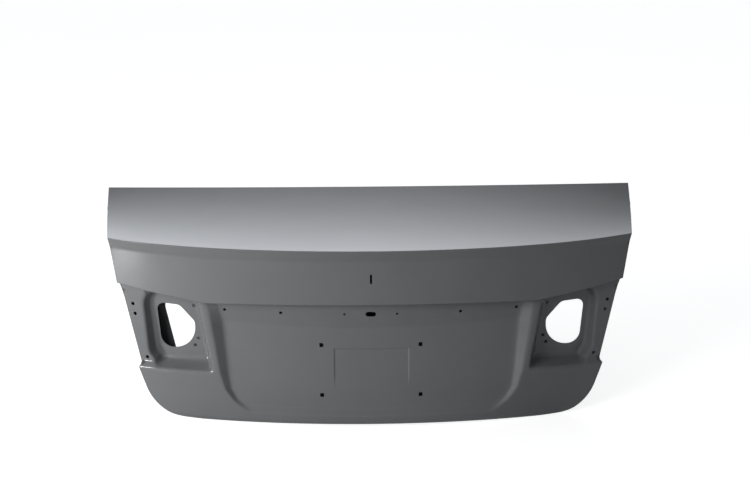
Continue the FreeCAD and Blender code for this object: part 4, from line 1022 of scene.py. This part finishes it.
        rows = [
            (0.0, drop(0.0), 1.0, None),
            (0.5 * cut, drop(0.5 * band / face), 1.0, wall_top),
            (cut, drop(band / face), 1.0, mix(wall_top, top, 0.3)),
            (0.0, drop(1.0), 1.0, mix(wall_top, top, 0.6)),
            (side, drop(1.0), 1.0, mix(wall_top, top, 0.8)),
            (side, at(mix(low, top, 0.5)), 1.0, mix(foot, top, 0.55)),
            (side, at(low + 5.0), 1.0, mix(foot, top, 0.25)),
            (0.93 * side, at(low - 1.5), 1.0, mix(foot, top, 0.2)),
            (0.07 * side, at(shelf + 1.5), 1.0, mix(foot, top, 0.16)),
            (0.0, at(shelf - 5.0), 1.0, mix(foot, top, 0.12)),
            (0.0, at(mix(foot, shelf, 0.4)), 1.0, foot),
            (0.0, at(foot - 10.0), 0.88, foot - 12.0),
            (0.0, at(self.foot_flange), 0.08, self.foot_flange + 8.0),
            (0.0, at(self.foot_flange - 4.0), 0.0, 0.0),
        ]
        for z, curl in self.hem_curl:
            rows.append((curl * form.bottom_tuck, lambda x, z=z: z + form.bottom_rise(x), 0.0, 0.0))
        made = []
        end = np.array(form.face_foot_half_width)
        for index, (depth, height, wall_share, wall_z) in enumerate(rows):
            below = 1.0 if index >= self.rows_on_face else 0.0
            half_width = self.edge_half_width(float(height(end)) - below)
            x, line, on_rib = self.lines(half_width)
            skin = np.stack([form.sweep(x) + depth + form.tumble(height(x)), height(x)], 1)
            if wall_z is None:
                y = self.wall_y(x) + self.top_row[0] * bend
                level = self.level(line, on_rib) + self.top_row[1] * bend
                wall = np.stack([y, self.under_deck(x, y, line, level)], 1)
            elif wall_share == 0.0:
                wall = skin
            else:
                near = form.sweep(x) + form.tumble(np.array(wall_z))
                y = mix(near, self.wall_y(x), wall_share)
                wall = np.stack([y, wall_z + 0.0 * x], 1)
            slope = np.array(self.slope_shares)
            share = slope[np.minimum(line, len(slope) - 1)][:, None]
            made.append(np.column_stack([x, mix(skin, wall, share)]))
        return made

    def grid(self) -> Array:
        """A uniform cubic B-spline surface over the net of rows and lines."""
        half = np.array(self.deck_rows() + self.rear_rows())
        net = np.concatenate([half[:, :0:-1] * np.array([-1.0, 1.0, 1.0]), half], 1)
        counts = []
        for axis in (0, 1):
            length = np.linalg.norm(np.diff(net, axis=axis), axis=2).mean(1 - axis)
            counts.append(np.clip(np.round(length / self.sample_mm), *self.cells).astype(int))
        down, across = (spline_weights(c) for c in counts)
        return np.einsum("ri,ijk,cj->rck", down, net, across)

    def deck_openings(self) -> List[Outline]:
        """Openings and bolt holes under the deck, seen from above."""
        side = Outline.rounded(self.deck_side_corners, self.deck_side_radii)
        (x, y), gap = self.hinge_bolt, self.hinge_bolt_half_gap
        bolts = [Outline.circle(x, y + d, self.hinge_bolt_radius) for d in (-gap, gap)]
        pairs = [o for one in [side] + bolts for o in (one, one.mirrored())]
        return [Outline.rectangle(*self.deck_middle)] + pairs

    def rear_openings(self) -> List[Outline]:
        """Openings, lock window and bolt holes of the rear wall, seen from behind."""
        right = Outline.rounded(self.right_access_corners, self.right_access_radii)
        left = Outline.rounded(self.left_access_corners, self.left_access_radii)
        window, bolt = Outline.rectangle(*self.rear_window), Outline.circle(*self.lock_bolt)
        mouth = Outline.rectangle(*self.lock_mouth)
        return [right, left, window, window.mirrored(), mouth, bolt, bolt.mirrored()]

    def build(self) -> bpy.types.Object:
        """The finished pressing, one skin and one seam inside the outer side."""
        form = self.form
        sheet = Surface.from_grid(self.grid(), (0.0, -0.6, 1.0))
        sheet.points = sheet.points - sheet.normals * (form.skin + form.seam)
        edge = self.lower.outline()
        low, inset = form.shelf_height, self.edge_distance[0]

        def inside(points: Array) -> Array:
            """Distance inside the lid's outline below the lamp shelf; free above it."""
            gap = edge.distance(*Plane.REAR.split(points)) - inset
            return np.where(points[:, 2] > low, KEPT, gap)

        sheet = sheet.trimmed(inside)
        cuts = [(Plane.DECK, outline) for outline in self.deck_openings()]
        cuts += [(Plane.REAR, outline) for outline in self.rear_openings()]
        for plane, outline in cuts:

            def outside(points: Array, plane: Plane = plane, cut: Outline = outline) -> Array:
                """Distance outside the opening, on the wall that it belongs to."""
                under_deck = points[:, 2] > self.deck_split
                gap = -cut.distance(*plane.split(points))
                return np.where(under_deck == (plane is Plane.DECK), gap, KEPT)

            sheet = sheet.trimmed(outside)
        return make_piece("inner_shell", sheet, self.thickness)


# ---------------------------------------------------------------- finishes


def linear(code: str) -> Tuple[float, float, float, float]:
    """Linear colour of an sRGB hex code, by the sRGB curve."""
    values = []
    for k in (0, 2, 4):
        c = int(code.lstrip("#")[k : k + 2], 16) / 255.0
        values.append(c / 12.92 if c <= 0.04045 else ((c + 0.055) / 1.055) ** 2.4)
    return (values[0], values[1], values[2], 1.0)


def add_node(tree: bpy.types.NodeTree, kind: str, settings: Dict, links: Dict) -> bpy.types.Node:
    """Add a shader node.

    Args:
        tree: the node tree.
        kind: the node's type name.
        settings: attributes, or input values where the key is an input's name or number.
        links: input name or number to the output socket that feeds it.

    Returns:
        The node.
    """
    node = tree.nodes.new(kind)
    for key, value in settings.items():
        if isinstance(key, str) and hasattr(node, key):
            setattr(node, key, value)
        else:
            node.inputs[key].default_value = value
    for key, source in links.items():
        tree.links.new(source, node.inputs[key])
    return node


@dataclass(frozen=True)
class DippedPrimer:
    """Cathodic dip primer on deep-drawn steel: an even half-gloss coat with faint orange peel.

    The film levels well, so it mirrors lamps as soft-edged patches; slow waves of the steel below
    bend those patches a little, and handling leaves faint cloudy patches.
    """

    name: str
    colour: str
    cloud_colour: str
    roughness: float = 0.17
    roughness_spread: Pair = (0.05, 0.06)
    ior: float = 1.52
    cloud_size_mm: float = 90.0
    peel_size_mm: float = 2.4
    peel_height_mm: float = 0.4
    peel: float = 0.02
    wave_size_mm: float = 160.0
    wave_height_mm: float = 4.0
    wave: float = 0.1

    def noise(
        self, tree: bpy.types.NodeTree, size_mm: float, detail: float
    ) -> bpy.types.NodeSocket:
        """Noise of a real size, on Object coordinates.

        Args:
            tree: the node tree.
            size_mm: size of its patches.
            detail: how many finer layers it has.

        Returns:
            The socket with values from 0 to 1.
        """
        place = add_node(tree, "ShaderNodeTexCoord", {}, {}).outputs["Object"]
        settings = {"Scale": 1.0 / (MM * size_mm), "Detail": detail}
        return add_node(tree, "ShaderNodeTexNoise", settings, {"Vector": place}).outputs["Fac"]

    def build(self) -> bpy.types.Material:
        """The material, patterned on Object coordinates."""
        material = bpy.data.materials.new(self.name)
        material.use_nodes = True
        tree = material.node_tree
        tree.nodes.clear()
        cloud = self.noise(tree, self.cloud_size_mm, 4.0)
        tone = add_node(
            tree,
            "ShaderNodeMix",
            {"data_type": "RGBA", 6: linear(self.colour), 7: linear(self.cloud_colour)},
            {0: cloud},
        )
        less, more = self.roughness_spread
        rough = add_node(
            tree,
            "ShaderNodeMapRange",
            {"To Min": self.roughness - less, "To Max": self.roughness + more},
            {"Value": cloud},
        )
        slow = add_node(
            tree,
            "ShaderNodeBump",
            {"Strength": self.wave, "Distance": MM * self.wave_height_mm},
            {"Height": self.noise(tree, self.wave_size_mm, 1.0)},
        )
        peel = self.noise(tree, self.peel_size_mm, 2.0)
        fine = add_node(
            tree,
            "ShaderNodeBump",
            {"Strength": self.peel, "Distance": MM * self.peel_height_mm},
            {"Height": peel, "Normal": slow.outputs["Normal"]},
        )
        paint = add_node(
            tree,
            "ShaderNodeBsdfPrincipled",
            {"IOR": self.ior},
            {
                "Base Color": tone.outputs[2],
                "Roughness": rough.outputs["Result"],
                "Normal": fine.outputs["Normal"],
            },
        )
        add_node(tree, "ShaderNodeOutputMaterial", {}, {"Surface": paint.outputs["BSDF"]})
        return material


def dress(piece: bpy.types.Object, material: bpy.types.Material) -> None:
    """Give a piece its one material."""
    piece.data.materials.clear()
    piece.data.materials.append(material)


# ---------------------------------------------------------------- studio


@dataclass(frozen=True)
class View:
    """The photograph's camera: where it stands and how its picture plane lies."""

    distance: float = 4200.0
    elevation: float = 20.0
    azimuth: float = -0.4
    roll: float = 0.4
    focal_px: float = 1658.0
    centre_px: Tuple[float, float] = (370.5, 300.0)
    target: Tuple[float, float, float] = (0.0, -150.0, 317.0)
    sight_m: float = 100.0

    def build(self) -> bpy.types.Object:
        """The camera: back, right and up vectors from the two angles, then turned by the roll."""
        a, e, r = (math.radians(v) for v in (self.azimuth, self.elevation, self.roll))
        back = Vector((math.sin(a) * math.cos(e), -math.cos(a) * math.cos(e), math.sin(e)))
        level = Vector((math.cos(a), math.sin(a), 0.0))
        upright = back.cross(level)
        right = level * math.cos(r) - upright * math.sin(r)
        up = level * math.sin(r) + upright * math.cos(r)
        place = (Vector(self.target) + back * self.distance) * MM
        data = bpy.data.cameras.new("camera")
        data.sensor_width = SENSOR_WIDTH
        data.lens = self.focal_px * SENSOR_WIDTH / IMAGE_SIZE[0]
        data.shift_x = (0.5 * IMAGE_SIZE[0] - self.centre_px[0]) / IMAGE_SIZE[0]
        data.shift_y = (self.centre_px[1] - 0.5 * IMAGE_SIZE[1]) / IMAGE_SIZE[0]
        data.clip_end = self.sight_m
        camera = bpy.data.objects.new("camera", data)
        turn = Matrix((right, up, back)).transposed().to_4x4()
        camera.matrix_world = Matrix.Translation(place) @ turn
        bpy.context.scene.collection.objects.link(camera)
        bpy.context.scene.camera = camera
        return camera


@dataclass(frozen=True)
class Softbox:
    """A rectangular lamp aimed at a point."""

    name: str
    place: Tuple[float, float, float]
    aim: Tuple[float, float, float]
    width: float
    height: float
    power: float
    colour: str = "#ffffff"
    mirrored: bool = True

    def build(self) -> bpy.types.Object:
        """The lamp; its face is turned towards the aim."""
        data = bpy.data.lights.new(self.name, "AREA")
        data.shape = "RECTANGLE"
        data.size, data.size_y = self.width, self.height
        data.energy = self.power
        data.color = linear(self.colour)[:3]
        lamp = bpy.data.objects.new(self.name, data)
        lamp.location = self.place
        way = Vector(self.aim) - Vector(self.place)
        lamp.rotation_euler = way.to_track_quat("-Z", "Y").to_euler()
        lamp.visible_glossy = self.mirrored
        bpy.context.scene.collection.objects.link(lamp)
        return lamp


@dataclass
class Studio:
    """Plain pale floor, white background and soft lamps.

    The surroundings that the sheets mirror fall from left to right, with a soft bright wall ahead
    of the lid that fades upwards and to the right. Directions run from -1 to 1 along each axis.
    """

    floor_drop: float = 0.002
    floor_half: float = 12.0
    left_level: float = 0.36
    right_level: float = 0.16
    back_level: float = 2.55
    back_up: Pair = (0.3, 0.78)
    back_ahead: Pair = (0.2, 0.75)
    back_across: Pair = (-0.02, 0.3)
    back_right_share: float = 0.25
    sky_colour: str = "#f4f7fc"
    floor_colour: str = "#cfcfcd"
    floor_cloud_colour: str = "#d6d6d4"
    floor_cloud_scale: float = 0.4
    floor_glow: float = 0.72
    lamps: Tuple[Softbox, ...] = (
        Softbox("left_window", (-2.6, -1.06, 0.55), (-0.62, -0.1, 0.4), 0.6, 0.9, 46.0),
        Softbox(
            "left_softbox", (-2.4, -3.0, 2.1), (-0.1, -0.1, 0.3), 1.8, 1.6, 64.0, mirrored=False
        ),
    )

    def floor(self) -> bpy.types.Object:
        """A flat pale floor; to the camera it glows a little, so that it comes out white."""
        h = self.floor_half
        corners = [(-h, -h, 0.0), (h, -h, 0.0), (h, h, 0.0), (-h, h, 0.0)]
        mesh = bpy.data.meshes.new("floor")
        mesh.from_pydata([(x, y, -self.floor_drop) for x, y, _ in corners], [], [(0, 1, 2, 3)])
        floor = bpy.data.objects.new("floor", mesh)
        bpy.context.scene.collection.objects.link(floor)
        material = bpy.data.materials.new("matt studio floor")
        material.use_nodes = True
        tree = material.node_tree
        tree.nodes.clear()
        place = add_node(tree, "ShaderNodeTexCoord", {}, {}).outputs["Object"]
        settings = {"Scale": self.floor_cloud_scale, "Detail": 2.0}
        cloud = add_node(tree, "ShaderNodeTexNoise", settings, {"Vector": place})
        colours = {6: linear(self.floor_colour), 7: linear(self.floor_cloud_colour)}
        tone = add_node(
            tree, "ShaderNodeMix", {"data_type": "RGBA", **colours}, {0: cloud.outputs["Fac"]}
        )
        matt = add_node(tree, "ShaderNodeBsdfDiffuse", {}, {"Color": tone.outputs[2]})
        path = add_node(tree, "ShaderNodeLightPath", {}, {})
        glow = add_node(
            tree,
            "ShaderNodeMath",
            {"operation": "MULTIPLY", 1: self.floor_glow},
            {0: path.outputs["Is Camera Ray"]},
        )
        light = add_node(tree, "ShaderNodeEmission", {}, {"Strength": glow.outputs[0]})
        both = add_node(tree, "ShaderNodeAddShader", {}, {0: matt.outputs[0], 1: light.outputs[0]})
        add_node(tree, "ShaderNodeOutputMaterial", {}, {"Surface": both.outputs[0]})
        dress(floor, material)
        return floor

    def build(self) -> None:
        """World, floor and lamps."""
        scene = bpy.context.scene
        scene.view_settings.view_transform = "Standard"
        world = bpy.data.worlds.new("studio")
        scene.world = world
        world.use_nodes = True
        tree = world.node_tree
        tree.nodes.clear()
        path = add_node(tree, "ShaderNodeLightPath", {}, {})
        way = add_node(tree, "ShaderNodeTexCoord", {}, {}).outputs["Generated"]
        axes = add_node(tree, "ShaderNodeSeparateXYZ", {}, {0: way}).outputs

        def ramp(source: bpy.types.NodeSocket, span: Pair, levels: Pair) -> bpy.types.NodeSocket:
            """Level that goes smoothly from the first to the second over the span."""
            keys = ("From Min", "From Max", "To Min", "To Max")
            settings = {"interpolation_type": "SMOOTHSTEP", **dict(zip(keys, span + levels))}
            node = add_node(tree, "ShaderNodeMapRange", settings, {"Value": source})
            return node.outputs["Result"]

        def joined(
            operation: str, a: bpy.types.NodeSocket, b: bpy.types.NodeSocket
        ) -> bpy.types.NodeSocket:
            """Sum or product of two levels."""
            node = add_node(tree, "ShaderNodeMath", {"operation": operation}, {0: a, 1: b})
            return node.outputs[0]

        side = ramp(axes[0], (-1.0, 1.0), (self.left_level, self.right_level))
        up = ramp(axes[2], self.back_up, (self.back_level, 0.0))
        ahead = ramp(axes[1], self.back_ahead, (0.0, 1.0))
        across = ramp(axes[0], self.back_across, (1.0, self.back_right_share))
        wall = joined("MULTIPLY", joined("MULTIPLY", up, ahead), across)
        level = joined("ADD", side, wall)
        dim = add_node(
            tree, "ShaderNodeBackground", {0: linear(self.sky_colour)}, {"Strength": level}
        )
        white = add_node(tree, "ShaderNodeBackground", {"Strength": 1.0, 0: (1, 1, 1, 1)}, {})
        blend = add_node(
            tree,
            "ShaderNodeMixShader",
            {},
            {0: path.outputs["Is Camera Ray"], 1: dim.outputs[0], 2: white.outputs[0]},
        )
        add_node(tree, "ShaderNodeOutputWorld", {}, {"Surface": blend.outputs["Shader"]})
        self.floor()
        for lamp in self.lamps:
            lamp.build()


def main() -> None:
    """Build the pieces in order, dress them and set up the studio."""
    logging.basicConfig(level=logging.INFO, format="%(name)s: %(message)s")
    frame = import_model()
    form = LidForm()
    lower = LowerSkin(form)
    upper = UpperSkin(form, lower)
    primer = DippedPrimer("dip primer on outer skins", "#636466", "#696a6c").build()
    # The inner parts wear the same primer as the outer skins, painted darker as painted shade, so
    # that the inside seen through the openings and holes reads dark.
    inside = DippedPrimer("inner primer darkened as painted shade", "#454647", "#4b4c4d", roughness=0.38).build()
    inner = InnerPressing(form, lower)
    pressings = (
        (upper, "outer_upper_panel", primer, "outer_skin"),
        (lower, "outer_lower_panel", primer, "outer_skin"),
        (inner, "inner_panel", inside, "inner_pressing"),
    )
    for part, node, finish, slot in pressings:
        piece = part.build()
        dress(piece, finish)
        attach(piece, "root")
        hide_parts(node)
        log.info("%s: %d triangles", piece.name, len(piece.data.polygons))
    replaced = {node for _, node, _, _ in pressings}
    # The small parts get the same darkened primer, with its painted shade.
    for name, node in frame["nodes"].items():
        if name not in replaced:
            dress(node, inside)
    View().build()
    Studio().build()


if __name__ == "__main__":
    main()
